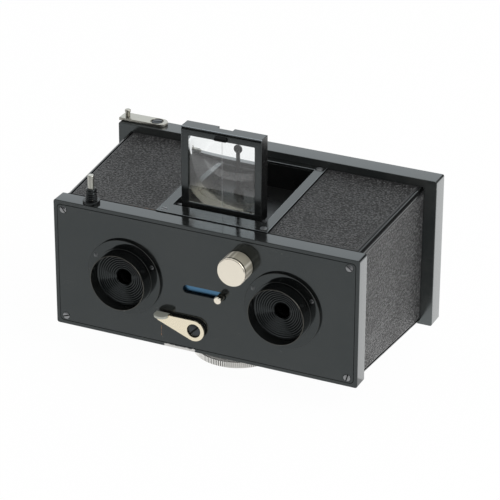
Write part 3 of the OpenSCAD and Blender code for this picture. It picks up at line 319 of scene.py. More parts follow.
def make_hide_grain():
    """Pebbled grain of the leather: its height, its furrows and the painted glints on its crests."""
    group, given, out = new_group("hide_grain", [("Scale", "NodeSocketFloat", 1100.0)],
                                  ["Height", "Valley", "Glint"])
    where = place_of(group)
    drift = put(group, "ShaderNodeTexNoise", None, {"Vector": where, "Scale": 700.0, "Detail": 2.0})
    shifted = put(group, "ShaderNodeVectorMath", {"operation": "MULTIPLY_ADD"},
                  {0: drift.outputs["Color"], 1: (0.0006, 0.0006, 0.0006), 2: where}).outputs[0]
    pebbles = put(group, "ShaderNodeTexVoronoi", {"feature": "SMOOTH_F1"},
                  {"Vector": shifted, "Scale": given.outputs["Scale"], "Smoothness": 0.35,
                   "Randomness": 0.8}).outputs["Distance"]
    veins = put(group, "ShaderNodeTexVoronoi", {"feature": "DISTANCE_TO_EDGE"},
                {"Vector": shifted, "Scale": times(group, given.outputs["Scale"], 0.62)})
    valley = between(group, veins.outputs["Distance"], 0.0, 0.16, 1.0, 0.0)
    fine = cloudy(group, where, 3800.0, 3.0)
    dome = between(group, pebbles, 0.05, 0.75, 1.0, 0.0)
    furrowed = reckon(group, "SUBTRACT", dome, times(group, valley, 0.55))
    height = plus(group, furrowed, times(group, fine, 0.22))
    group.links.new(height, out.inputs["Height"])
    group.links.new(valley, out.inputs["Valley"])
    tops = put(group, "ShaderNodeTexVoronoi", None,
               {"Vector": shifted, "Scale": given.outputs["Scale"], "Randomness": 0.8})
    chance = put(group, "ShaderNodeSeparateColor", None, {0: tops.outputs["Color"]}).outputs[0]
    painted_glint = times(group, between(group, tops.outputs["Distance"], 0.15, 0.62, 1.0, 0.0),
                 between(group, chance, 0.0, 0.5, 0.75, 1.0))
    group.links.new(painted_glint, out.inputs["Glint"])
    return group


def make_tarnish():
    """Stains and haze on bare metal."""
    group, given, out = new_group("tarnish", [("Scale", "NodeSocketFloat", 300.0),
                                              ("Amount", "NodeSocketFloat", 0.5)], ["Stain", "Haze"])
    where = place_of(group)
    broad = cloudy(group, where, given.outputs["Scale"], 6.0, 0.65)
    start = reckon(group, "SUBTRACT", 0.75, times(group, given.outputs["Amount"], 0.3))
    group.links.new(between(group, broad, start, plus(group, start, 0.2)), out.inputs["Stain"])
    haze = cloudy(group, where, times(group, given.outputs["Scale"], 4.0), 3.0)
    group.links.new(haze, out.inputs["Haze"])
    return group


EDGE_WEAR_AND_SHEEN = make_edge_wear_and_sheen()
HANDLING = make_handling()
HIDE_GRAIN = make_hide_grain()
TARNISH = make_tarnish()


# Materials

def new_material(name, **plain):
    material = bpy.data.materials.new(name)
    material.use_nodes = True
    tree = material.node_tree
    shader = tree.nodes["Principled BSDF"]
    for key, value in plain.items():
        shader.inputs[key.replace("_", " ")].default_value = value
    return material, tree, shader


def dress(tree, shader, **wires):
    for key, value in wires.items():
        tree.links.new(value, shader.inputs[key.replace("_", " ")])


def bump(tree, height, depth):
    return put(tree, "ShaderNodeBump", None,
               {"Height": height, "Distance": depth * MM, "Strength": 1.0}).outputs[0]


COOL = (0.89, 0.985, 1.0, 1)
BARE_METAL = (0.62, 0.61, 0.59, 1)


def bare_strip_mask(tree):
    """Enamel lost along the lower front edge of the case, and a few chips beside it."""
    where = place_of(tree)
    parts = put(tree, "ShaderNodeSeparateXYZ", None, {0: where}).outputs
    wander = reckon(tree, "SUBTRACT", cloudy(tree, where, 900.0, 4.0, 0.7), 0.5)
    ragged = times(tree, wander, 1.6 * MM)
    low = plus(tree, parts["Z"], ragged)
    along = plus(tree, parts["X"], times(tree, ragged, 0.8))
    stretch = times(tree, above(tree, along, STRIP_LEFT, 0.3), below(tree, along, STRIP_RIGHT, 0.2))
    strip = times(tree, below(tree, low, STRIP_TOP, 0.1), stretch)
    front = below(tree, parts["Y"], STRIP_BACK, 0.3)
    near_edge = below(tree, low, CHIPS_TOP, 0.15)
    chips = between(tree, cloudy(tree, where, 210.0, 5.0, 0.7), 0.66, 0.69)
    bare = reckon(tree, "MAXIMUM", strip, times(tree, near_edge, chips))
    return times(tree, front, bare)


def panel_scratch_mask(tree):
    """One upright scratch under the shutter lever."""
    where = place_of(tree)
    parts = put(tree, "ShaderNodeSeparateXYZ", None, {0: where}).outputs
    off = reckon(tree, "ABSOLUTE", reckon(tree, "SUBTRACT", parts["X"], SCRATCH_X * MM))
    thin = below(tree, off, SCRATCH_HALF, 0.055)
    upright = times(tree, above(tree, parts["Z"], SCRATCH_LOW, 0.3),
                    below(tree, parts["Z"], SCRATCH_HIGH, 0.4))
    broken = between(tree, cloudy(tree, where, 1500.0, 3.0), 0.35, 0.55)
    return times(tree, times(tree, thin, upright), broken)


def make_enamel(name, amount, scale, rough=(0.07, 0.17), bare=BARE_METAL, ripple=0.006, tone=1.0,
                marks_on=None, scratch_on=None):
    """Black enamel that is chipped at its edges, or carries painted highlight lines there, with the bare
    marks and rusty scratches of one piece.
    """
    material, tree, shader = new_material(name, IOR=1.56, Specular_IOR_Level=0.5, Specular_Tint=COOL)
    wear_and_sheen = place_group(tree, EDGE_WEAR_AND_SHEEN, {"Amount": amount, "Scale": scale})["Wear"]
    if marks_on:
        wear_and_sheen = reckon(tree, "MAXIMUM", wear_and_sheen, marks_on(tree))
    marks = place_group(tree, HANDLING, {"Scale": 38.0})
    coat = mix_colours(tree, marks["Smudge"], (tone * 0.0075, tone * 0.0085, tone * 0.0085, 1),
                       (tone * 0.013, tone * 0.0135, tone * 0.013, 1))
    dust = times(tree, marks["Dust"], 0.35)
    dusty = mix_colours(tree, dust, coat, (0.3, 0.29, 0.26, 1))
    scratched = times(tree, marks["Scratch"], 0.12)
    scraped = mix_colours(tree, scratched, dusty, (0.28, 0.27, 0.25, 1))
    if scratch_on:
        scraped = mix_colours(tree, scratch_on(tree), scraped, (0.33, 0.15, 0.06, 1))
    gloss = mix_values(tree, marks["Smudge"], rough[0], rough[1])
    # The bare colour is bare metal where the enamel is chipped, and a painted highlight where a material
    # asks for lines.
    dress(tree, shader,
          Base_Color=mix_colours(tree, wear_and_sheen, scraped, bare),
          Metallic=times(tree, wear_and_sheen, 0.85),
          Roughness=mix_values(tree, wear_and_sheen, gloss, 0.38),
          Normal=bump(tree, cloudy(tree, place_of(tree), 260.0, 2.0), ripple))
    return material


def make_satin(name, amount, rough=0.36, tone=0.011, shine=0.5, bare=(0.42, 0.39, 0.33, 1)):
    """Matt paint or lacquer, thinned at its edges, or with painted highlight lines there."""
    material, tree, shader = new_material(name, IOR=1.5, Specular_IOR_Level=shine, Specular_Tint=COOL)
    wear_and_sheen = place_group(tree, EDGE_WEAR_AND_SHEEN, {"Amount": amount, "Scale": 1100.0})["Wear"]
    marks = place_group(tree, HANDLING, {"Scale": 70.0})
    coat = mix_colours(tree, marks["Smudge"], (tone * 0.8, tone * 0.84, tone * 0.9, 1),
                       (tone * 1.4, tone * 1.4, tone * 1.35, 1))
    dust = times(tree, marks["Dust"], 0.3)
    dusty = mix_colours(tree, dust, coat, (0.25, 0.24, 0.22, 1))
    # The bare colour is bare metal where the paint is thinned, and a painted highlight where a material
    # asks for lines.
    dress(tree, shader,
          Base_Color=mix_colours(tree, wear_and_sheen, dusty, bare),
          Metallic=times(tree, wear_and_sheen, 0.8),
          Roughness=mix_values(tree, marks["Smudge"], rough * 0.8, rough * 1.2),
          Normal=bump(tree, cloudy(tree, place_of(tree), 2600.0, 2.0), 0.004))
    return material


def make_leather():
    """Black pebbled leather with painted glints on its pebbles, smooth along its borders and rubbed brown
    where it is marked.
    """
    material, tree, shader = new_material("black_grained_leather", IOR=1.47, Specular_IOR_Level=0.4)
    where = place_of(tree)
    grain = place_group(tree, HIDE_GRAIN, {"Scale": 1100.0})
    border = put(tree, "ShaderNodeAttribute", {"attribute_name": "border"}).outputs["Fac"]
    inside = between(tree, border, 0.55, 1.25)
    mark = put(tree, "ShaderNodeAttribute", {"attribute_name": "rubbed"}).outputs["Fac"]
    frayed = between(tree, cloudy(tree, where, 800.0, 4.0, 0.7), 0.44, 0.6)
    rubbed = times(tree, mark, frayed)
    patches = cloudy(tree, where, 60.0, 4.0)
    hide = mix_colours(tree, patches, (0.004, 0.004, 0.0045, 1), (0.009, 0.0088, 0.0085, 1))
    deep = mix_colours(tree, grain["Valley"], hide, (0.005, 0.005, 0.005, 1))
    # Light dots on some pebble tops: painted glints.
    glinted = mix_colours(tree, grain["Glint"], deep, (0.115, 0.117, 0.118, 1))
    smooth = mix_colours(tree, inside, (0.012, 0.012, 0.0125, 1), glinted)
    height = mix_values(tree, inside, 0.45, grain["Height"])
    dress(tree, shader,
          Base_Color=mix_colours(tree, rubbed, smooth, (0.16, 0.085, 0.05, 1)),
          Roughness=mix_values(tree, inside, 0.36, between(tree, patches, 0.3, 0.7, 0.4, 0.52)),
          Normal=bump(tree, height, 0.7))
    return material


def make_metal(name, colour, stain, amount, rough, brushed=None, bright=1.0, painted_streaks=None):
    """Tarnished metal, brushed along one direction or finely pitted, with painted reflection streaks where
    asked.
    """
    material, tree, shader = new_material(name, Metallic=bright)
    aged = place_group(tree, TARNISH, {"Scale": 300.0, "Amount": amount})
    where = place_of(tree)
    if brushed:
        lines = cloudy(tree, stretched_place(tree, where, brushed), 1.0, 3.0)
    else:
        lines = cloudy(tree, where, 2400.0, 2.0)
    level = mix_values(tree, aged["Stain"], rough, rough + 0.16)
    if painted_streaks:
        # Dark bands along the axis: painted reflection streaks.
        drawn = cloudy(tree, stretched_place(tree, where, painted_streaks), 1.0, 1.0)
        colour = mix_colours(tree, between(tree, drawn, 0.42, 0.6), colour, stain)
    dress(tree, shader,
          Base_Color=mix_colours(tree, aged["Stain"], colour, stain),
          Roughness=plus(tree, level, times(tree, aged["Haze"], 0.06)),
          Normal=bump(tree, lines, 0.004))
    return material


def make_knurled():
    """Nickel, near black in the furrows between the ridges of the foot's knurled rim."""
    material, tree, shader = new_material("knurled_nickel")
    where = place_of(tree)
    flat = put(tree, "ShaderNodeVectorMath", {"operation": "MULTIPLY"},
               {0: where, 1: (1, 1, 0)}).outputs[0]
    radius = put(tree, "ShaderNodeVectorMath", {"operation": "LENGTH"}, {0: flat}).outputs["Value"]
    furrow = below(tree, radius, KNURL_CREST_R, 0.09)
    plain = below(tree, radius, KNURL_PLAIN_R, 0.07)
    # Near black in the furrows of the knurling.
    furrow_dark = times(tree, above(tree, radius, KNURL_ROOT_R, 0.03), furrow)
    aged = place_group(tree, TARNISH, {"Scale": 300.0, "Amount": 0.45})
    metal = mix_colours(tree, aged["Stain"], (0.92, 0.91, 0.88, 1), (0.7, 0.68, 0.62, 1))
    dress(tree, shader,
          Base_Color=mix_colours(tree, furrow_dark, metal, (0.012, 0.012, 0.012, 1)),
          Metallic=mix_values(tree, plain, 1.0, 0.25),
          Roughness=mix_values(tree, plain, 0.26, 0.5))
    return material


def make_glass(name, colour, ior, mirror=1.0, clear=1.0):
    """Clear glass, or glass coloured near black as painted shade, with a trace of smudging."""
    material, tree, shader = new_material(name, Transmission_Weight=clear, IOR=ior, Roughness=0.0,
                                          Specular_Tint=(mirror, mirror, mirror, 1))
    marks = place_group(tree, HANDLING, {"Scale": 90.0})
    tint = [part * 0.97 for part in colour[:3]] + [1]
    dress(tree, shader,
          Base_Color=mix_colours(tree, marks["Smudge"], colour, tint),
          Normal=bump(tree, cloudy(tree, place_of(tree), 120.0, 1.0), 0.0006))
    return material


def make_ground_edge():
    """Ground edge of the finder glass, painted pale cream below as light and dark grey above as shade."""
    material, tree, shader = new_material("ground_glass_edge", Roughness=0.55, IOR=1.5)
    where = place_of(tree)
    cloud = cloudy(tree, where, 1400.0, 4.0)
    level = put(tree, "ShaderNodeSeparateXYZ", None, {0: where}).outputs["Z"]
    painted_lit = mix_colours(tree, cloud, (0.6, 0.58, 0.48, 1), (0.85, 0.82, 0.72, 1))
    painted_shade = mix_colours(tree, cloud, (0.04, 0.044, 0.042, 1), (0.07, 0.075, 0.072, 1))
    # Pale cream below the level as painted light, dark grey above it as painted shade.
    dress(tree, shader, Base_Color=mix_colours(tree, above(tree, level, PAINTED_LIGHT_EDGE_TOP, 2.75), painted_lit, painted_shade))
    return material


case_enamel = make_enamel("case_enamel", 0.27, 620.0, marks_on=bare_strip_mask)
panel_enamel = make_enamel("panel_enamel", 0.08, 620.0, scratch_on=panel_scratch_mask)
# On the lens mouths' lips and the flanges' rims, the bare colour laid on every eased edge is a painted
# highlight line, partly wear.
hood_enamel = make_enamel("hood_enamel", 1.3, 900.0, rough=(0.06, 0.13), bare=(0.05, 0.05, 0.048, 1),
                          ripple=0.002, tone=0.45)
hood_inside = make_satin("hood_inside", 1.3, rough=0.18, tone=0.004, shine=0.42,
                         bare=(0.085, 0.08, 0.068, 1))
shell_enamel = make_enamel("shell_enamel", 0.1, 700.0, rough=(0.09, 0.16))
frame_enamel = make_enamel("frame_enamel", 0.22, 540.0, rough=(0.12, 0.24), tone=2.4)
# Its cool bare colour is a painted highlight line along the top front edges.
finder_enamel = make_enamel("finder_enamel", 1.3, 480.0, rough=(0.12, 0.18), bare=(0.3, 0.33, 0.35, 1),
                            ripple=0.003)
# Its bare colour along the edges is mostly a painted highlight line, partly wear.
bezel_enamel = make_enamel("bezel_enamel", 0.8, 640.0, rough=(0.1, 0.2), bare=(0.25, 0.27, 0.28, 1))
satin_black = make_satin("satin_black", 0.3)
# Near-black paint: real on the catch, the sight and the glass rings; painted shade in the screw slots, the
# knob's groove and the finder frame's sides.
black_paint_and_shade = make_satin("black_paint_and_shade", 0.0, rough=0.25, tone=0.003, shine=0.14)
line_grey = make_satin("line_grey", 0.0, rough=0.5, tone=0.3, shine=0.1)
# Dull near-black coat for the shell's rounded corners: painted shade.
corner_painted_shade = make_satin("corner_painted_shade", 0.0, rough=0.3, tone=0.002, shine=0.05)
collar_black = make_satin("collar_black", 0.35, rough=0.22, tone=0.004, shine=0.3)
tray_black = make_satin("tray_black", 0.1, rough=0.3, tone=0.005, shine=0.3)
holder_black = make_satin("holder_black", 0.4, rough=0.42)
leather = make_leather()
nickel = make_metal("worn_nickel", (0.80, 0.745, 0.635, 1), (0.55, 0.47, 0.34, 1), 0.15, 0.2)
# The knob's side carries painted reflection streaks along its axis.
knob_side = make_metal("knob_side_nickel", (0.92, 0.88, 0.79, 1), (0.33, 0.31, 0.25, 1), 0.3, 0.4,
                       bright=0.35, painted_streaks=(330, 12, 330))
lever_nickel = make_metal("lever_nickel", (0.80, 0.725, 0.565, 1), (0.5, 0.41, 0.27, 1), 0.12, 0.24)
tab_nickel = make_metal("tab_nickel", (0.42, 0.43, 0.38, 1), (0.2, 0.19, 0.15, 1), 0.3, 0.3,
                        bright=0.25)
latch_nickel = make_metal("dull_nickel", (0.37, 0.36, 0.32, 1), (0.24, 0.22, 0.17, 1), 0.55, 0.3,
                          brushed=(300, 4200, 4200))
knurled_nickel = make_knurled()
foot_nickel = make_metal("foot_nickel", (0.78, 0.76, 0.70, 1), (0.5, 0.46, 0.38, 1), 0.45, 0.22)
pin_steel = make_metal("pin_steel", (0.43, 0.43, 0.39, 1), (0.26, 0.25, 0.21, 1), 0.5, 0.3)
screw_steel = make_metal("screw_steel", (0.25, 0.255, 0.26, 1), (0.1, 0.095, 0.085, 1), 0.5, 0.3)
steel = make_metal("turned_steel", (0.42, 0.43, 0.44, 1), (0.2, 0.18, 0.16, 1), 0.5, 0.3)
# Steel coloured near black, for the shutter lever's and the latch's screw heads.
near_black_steel = make_metal("near_black_screw_steel", (0.055, 0.06, 0.065, 1), (0.03, 0.03, 0.03, 1), 0.5, 0.32)
dark_steel = make_metal("dark_steel", (0.16, 0.165, 0.17, 1), (0.06, 0.055, 0.05, 1), 0.5, 0.34)
blued_steel = make_metal("blued_steel", (0.077, 0.175, 0.285, 1), (0.05, 0.1, 0.17, 1), 0.3, 0.3,
                         brushed=(200, 5200, 5200))
brass = make_metal("plain_brass", (0.60, 0.46, 0.20, 1), (0.32, 0.22, 0.09, 1), 0.5, 0.28)
# Lens glass coloured near black that mirrors little: painted shade for the dark inside of the lens.
lens_glass = make_glass("lens_glass", (0.012, 0.012, 0.014, 1), 1.1, mirror=0.05)
finder_glass_clear = make_glass("finder_glass_clear", (0.97, 0.995, 0.995, 1), 1.68, clear=0.985)
ground_edge = make_ground_edge()
plate_coating = make_satin("plate_coating", 0.0, rough=0.3, tone=0.45)


# Making pieces

def show(bm, name, materials, body, stands_for=(), sharp=40.0, even=True):
    """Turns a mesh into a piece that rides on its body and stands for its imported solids."""
    mesh = bpy.data.meshes.new(name)
    bm.to_mesh(mesh)
    bm.free()
    left_over = mesh.attributes.get("custom_normal")
    if left_over:
        mesh.attributes.remove(left_over)
    mesh.polygons.foreach_set("use_smooth", [True] * len(mesh.polygons))
    mesh.set_sharp_from_angle(angle=math.radians(sharp))
    for material in materials if isinstance(materials, (list, tuple)) else [materials]:
        mesh.materials.append(material)
    piece = bpy.data.objects.new(name, mesh)
    scene.collection.objects.link(piece)
    if even:
        evened = piece.modifiers.new("even_normals", "WEIGHTED_NORMAL")
        evened.keep_sharp = True
        evened.weight = 100
    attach(piece, body)
    if stands_for:
        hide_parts(*stands_for)
    return piece


def solid_of(node, weld=0.002):
    """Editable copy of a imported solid, with its doubled points welded."""
    bm = bmesh.new()
    bm.from_mesh(frame["nodes"][node].data)
    bmesh.ops.remove_doubles(bm, verts=bm.verts, dist=weld * MM)
    return bm


def case_place(point):
    """Place on the camera, in millimetres, of a point of the frame."""
    return Vector((point.x / MM, point.y / MM + FOOT_AXIS_Y, point.z / MM + FOOT_FACE_Z))


def ease_edges(bm, width, steps, corner, mark=None):
    """Rounds the sharp edges, and marks the new faces as edges for wear and for painted highlight lines."""
    bmesh.ops.dissolve_limit(bm, angle_limit=math.radians(0.5), verts=bm.verts, edges=bm.edges)
    limit = math.radians(corner)
    edge = bm.faces.layers.float.new("edge")
    corners = [e for e in bm.edges if len(e.link_faces) == 2 and e.calc_face_angle(0.0) > limit]
    made = bmesh.ops.bevel(bm, geom=corners, offset=width * MM, offset_type="OFFSET", segments=steps,
                           profile=0.5, affect="EDGES", clamp_overlap=False)
    for face in made["faces"]:
        face[edge] = 1.0 if mark is None or mark(case_place(face.calc_center_median())) else 0.0


def body_of_node(node):
    return frame["nodes"][node]["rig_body"]


def eased(node, width, material, steps=2, corner=28.0, mark=None, inner=None):
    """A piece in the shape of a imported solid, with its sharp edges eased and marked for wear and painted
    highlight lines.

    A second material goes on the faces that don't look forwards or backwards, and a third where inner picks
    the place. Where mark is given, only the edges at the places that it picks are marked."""
    bm = solid_of(node)
    ease_edges(bm, width, steps, corner, mark)
    if isinstance(material, list):
        bm.normal_update()
        for face in bm.faces:
            face.material_index = 1 if abs(face.normal.y) < 0.5 else 0
            if inner and inner(case_place(face.calc_center_median())):
                face.material_index = 2
    show(bm, node + "_eased", material, body_of_node(node), [node])


def paint(node, material):
    """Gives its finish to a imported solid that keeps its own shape."""
    data = frame["nodes"][node].data
    data.materials.clear()
    data.materials.append(material)


ARC_STEPS = 4
CHEEK_POINTS = 15


def rounded_profile(points):
    """Profile of (radius, height, easing), with every eased corner turned into a short arc."""
    line = []
    count = len(points)
    for i, (r, h, ease) in enumerate(points):
        here = Vector((r, h))
        if not ease:
            line.append((here, False))
            continue
        before = (Vector(points[i - 1][:2]) - here).normalized()
        after = (Vector(points[(i + 1) % count][:2]) - here).normalized()
        for k in range(ARC_STEPS + 1):
            t = k / ARC_STEPS
            bend = before * (ease * (1 - t) ** 2) + after * (ease * t ** 2)
            line.append((here + bend, 0 < k))
    return line


def turned(bm, profile, centre, axis, sides):
    """Adds a turned form: the profile swept round the axis through centre."""
    across = Vector((1, 0, 0))
    other = axis.cross(across)
    line = rounded_profile(profile)
    edge = bm.faces.layers.float.get("edge") or bm.faces.layers.float.new("edge")
    rings = []
    for point, _ in line:
        if point.x < 1e-6:
            rings.append([bm.verts.new(centre + axis * (point.y * MM))])
            continue
        ring = []
        for k in range(sides):
            a = 2 * math.pi * k / sides
            out = across * math.cos(a) + other * math.sin(a)
            ring.append(bm.verts.new(centre + (axis * point.y + out * point.x) * MM))
        rings.append(ring)
    for i in range(len(rings)):
        first = rings[i]
        second = rings[(i + 1) % len(rings)]
        mark = 1.0 if line[(i + 1) % len(rings)][1] else 0.0
        if len(first) == 1 and len(second) == 1:
            continue
        for k in range(sides):
            n = (k + 1) % sides
            corners = [first[k % len(first)], first[n % len(first)],
                       second[n % len(second)], second[k % len(second)]]
            unique = list(dict.fromkeys(corners))
            face = bm.faces.new(unique)
            face[edge] = mark


def turned_piece(name, profile, centre, axis, material, body, stands_for, sides):
    """A piece that is one turned form."""
    bm = bmesh.new()
    turned(bm, profile, centre, axis, sides)
    bmesh.ops.recalc_face_normals(bm, faces=bm.faces)
    show(bm, name, material, body, stands_for)


def slotted_head(bm, centre, axis, radius, low, high, turn, slot_w=0.36, slot_d=0.4, ease=0.12):
    """Adds a screw head: a disc painted near black as shade at the slot's floor, with two half-round cheeks
    beside the slot.
    """
    across = Matrix.Rotation(math.radians(turn), 3, axis) @ Vector((1, 0, 0))
    other = axis.cross(across)
    floor = high - slot_d
    made = len(bm.faces)
    turned(bm, [(0, low, 0), (radius, low, 0), (radius, floor, 0), (0, floor, 0)], centre, axis, 32)
    for face in list(bm.faces)[made:]:
        face.material_index = 1
    edge = bm.faces.layers.float.get("edge")
    levels = ((0.0, floor - 0.02), (0.0, high - ease), (ease * 0.35, high - ease * 0.35), (ease, high))
    for side in (-1, 1):
        rings = []
        for inset, level in levels:
            r = radius - inset
            half = slot_w / 2 + inset * 0.6
            start = math.asin(half / r)
            ring = []
            for k in range(CHEEK_POINTS):
                a = start + (math.pi - 2 * start) * k / (CHEEK_POINTS - 1)
                u, v = r * math.cos(a), side * r * math.sin(a)
                ring.append(bm.verts.new(centre + (across * u + other * v + axis * level) * MM))
            rings.append(ring)
        for i in range(len(levels) - 1):
            for k in range(CHEEK_POINTS):
                n = (k + 1) % CHEEK_POINTS
                face = bm.faces.new([rings[i][k], rings[i][n], rings[i + 1][n], rings[i + 1][k]])
                face[edge] = 1.0 if i else 0.0
        bm.faces.new(rings[0])
        bm.faces.new(rings[-1])


def screws_piece(name, places, material, body, stands_for):
    """A piece that is a set of slotted screw heads."""
    bm = bmesh.new()
    for place in places:
        slotted_head(bm, **place)
    bmesh.ops.recalc_face_normals(bm, faces=bm.faces)
    # The slot floors take the near-black paint as painted shade.
    show(bm, name, [material, black_paint_and_shade], body, stands_for, even=False)


# Front case and panel

eased("front_case", 0.22, case_enamel)
eased("front_panel", 0.1, panel_enamel)

panel_places = []
for x, z, turn in ((-PANEL_SCREW_X, PANEL_SCREW_LOW, 20), (PANEL_SCREW_X, PANEL_SCREW_LOW, 75),
                   (-PANEL_SCREW_X, PANEL_SCREW_HIGH, 130), (PANEL_SCREW_X, PANEL_SCREW_HIGH, -35)):
    panel_places.append({"centre": seat(x, 0, z), "axis": FRONT, "turn": turn,
                         "radius": 1.36, "low": -0.5, "high": 0.2})
screws_piece("panel_screw_heads", panel_places, screw_steel, "camera_body", ["panel_screws"])

# Lenses

flange = [(FLANGE_IN, 0.05, 0), (FLANGE_IN, FLANGE_STEP_H, 0), (FLANGE_STEP, FLANGE_STEP_H, 0.07),
          (FLANGE_STEP, FLANGE_H, 0), (FLANGE_OUT, FLANGE_H, 0.14), (FLANGE_OUT, 0.05, 0)]
flange_places = []
for side, name in ((-1, "left"), (1, "right")):
    # The flange's eased rims carry the painted highlight lines of its enamel.
    turned_piece(name + "_flange_ring", flange, seat(side * LENS_X, 0, LENS_Z), FRONT, hood_enamel,
                 "camera_body", [name + "_lens_flange"], 128)
    # Only the edges at the hood's mouth are marked, for its painted highlight line.
    eased(name + "_lens_barrel", 0.06, [hood_inside, hood_enamel], corner=24.0,
          mark=lambda spot: spot.y < HOOD_MOUTH_Y)
    paint(name + "_front_glass", lens_glass)
    paint(name + "_rear_glass", lens_glass)
    paint(name + "_rear_cell", satin_black)
    for k in range(3):
        a = math.radians(FLANGE_SCREW_START + 120 * k)
        x = side * LENS_X + FLANGE_SCREW_R * math.cos(a)
        z = LENS_Z + FLANGE_SCREW_R * math.sin(a)
        flange_places.append({"centre": seat(x, 0, z), "axis": FRONT, "turn": 35 + 70 * k,
                              "radius": 0.8, "low": 0.2, "high": 1.34,
                              "slot_w": 0.25, "slot_d": 0.3, "ease": 0.08})
screws_piece("flange_screw_heads", flange_places, dark_steel, "camera_body", ["flange_screws"])
paint("glass_rings", black_paint_and_shade)

# Controls on the panel

paint("aperture_strip", blued_steel)
eased("aperture_pin", 0.12, nickel)
eased("lever_bush", 0.1, satin_black)
eased("lever_plate", 0.16, [lever_nickel, lever_nickel, tab_nickel],
      inner=lambda spot: spot.y < -LEVER_FACE)
lever_head = {"centre": seat(LEVER_X, 0, LEVER_Z), "axis": FRONT, "turn": 45,
              "radius": 2.52, "low": 1.02, "high": 1.48,
              "slot_w": 0.5, "slot_d": 0.3, "ease": 0.16}
screws_piece("lever_screw_head", [lever_head], near_black_steel, "shutter_lever", ["lever_screw"])


def in_knob_groove(spot):
    """The groove round the knob's face."""
    off = math.hypot(spot.x - KNOB_X, spot.z - KNOB_Z)
    return KNOB_GROOVE_FRONT < spot.y < KNOB_GROOVE_BACK and off < KNOB_GROOVE_R


# The groove behind the knob's face is painted near black as shade.
eased("speed_knob", 0.1, [nickel, knob_side, black_paint_and_shade], inner=in_knob_groove)

# Release

collar = [(COLLAR_BORE_R, 0, 0), (COLLAR_BASE_R, 0, 0.1), (COLLAR_BASE_R, COLLAR_BASE_H, 0.2),
          (2.3, COLLAR_BASE_H, 0.1)]
for k in range(THREAD_TURNS):
    low = THREAD_START + THREAD_PITCH * k
    r = THREAD_R - THREAD_NARROWS * (low - COLLAR_BASE_H) / THREAD_LEN
    collar += [(r - THREAD_DEPTH, low, 0.05), (r, low + 0.3, 0.1), (r - 0.02, low + 0.46, 0.06)]
collar += [(1.78, 4.3, 0.05), (2.03, 4.45, 0.06), (1.98, 5.3, 0.1), (1.62, COLLAR_H, 0.06),
           (COLLAR_BORE_R, COLLAR_H, 0)]
turned_piece("threaded_collar", collar, seat(RELEASE_X, CASE_T / 2, CASE_H), UP, collar_black,
             "camera_body", ["release_collar"], 48)
eased("release_plunger", 0.12, pin_steel)

# Body

def top_height(y):
    """Height of the body's top at a distance behind the panel."""
    return CASE_H + (y - CASE_T) * SLOPE


def side_reach(y):
    """Half the body's width at a distance behind the panel."""
    return BODY_FRONT_W / 2 + (y - CASE_T) * FLARE


def welded_shell():
    """The shell, with the bare strips along its long corners turned to a fuller round and given a dull
    near-black coat as painted shade.
    """
    bm = solid_of("body_shell", 0.06)
    seen = {}
    for face in bm.faces:
        seen.setdefault(frozenset(v.index for v in face.verts), []).append(face)
    doubled = [f for same in seen.values() if len(same) > 1 for f in same]
    bmesh.ops.delete(bm, geom=doubled, context="FACES_ONLY")
    for vert in bm.verts:
        here = case_place(vert.co)
        inward = side_reach(here.y) - abs(here.x)
        deep = top_height(here.y) - LENS_Z - abs(here.z - LENS_Z)
        if max(inward, deep) < CORNER_R + 0.06 and min(inward, deep) > -0.1:
            inward = ROUND_R + (inward - CORNER_R) * ROUND_R / CORNER_R
            deep = ROUND_R + (deep - CORNER_R) * ROUND_R / CORNER_R
            here.x = math.copysign(side_reach(here.y) - inward, here.x)
            here.z = LENS_Z + math.copysign(top_height(here.y) - LENS_Z - deep, here.z - LENS_Z)
            vert.co = seat(*here)
    ease_edges(bm, 0.08, 1, 50.0)
    # The rounded corner faces get the dull near-black coat: painted shade for the dark band along the
    # body's corners.
    for face in bm.faces:
        if 0.3 < abs(face.normal.x) < 0.96 and abs(face.normal.z) > 0.25:
            face.material_index = 1
    show(bm, "body_shell_welded", [shell_enamel, corner_painted_shade], "camera_body",
         ["body_shell"])


welded_shell()


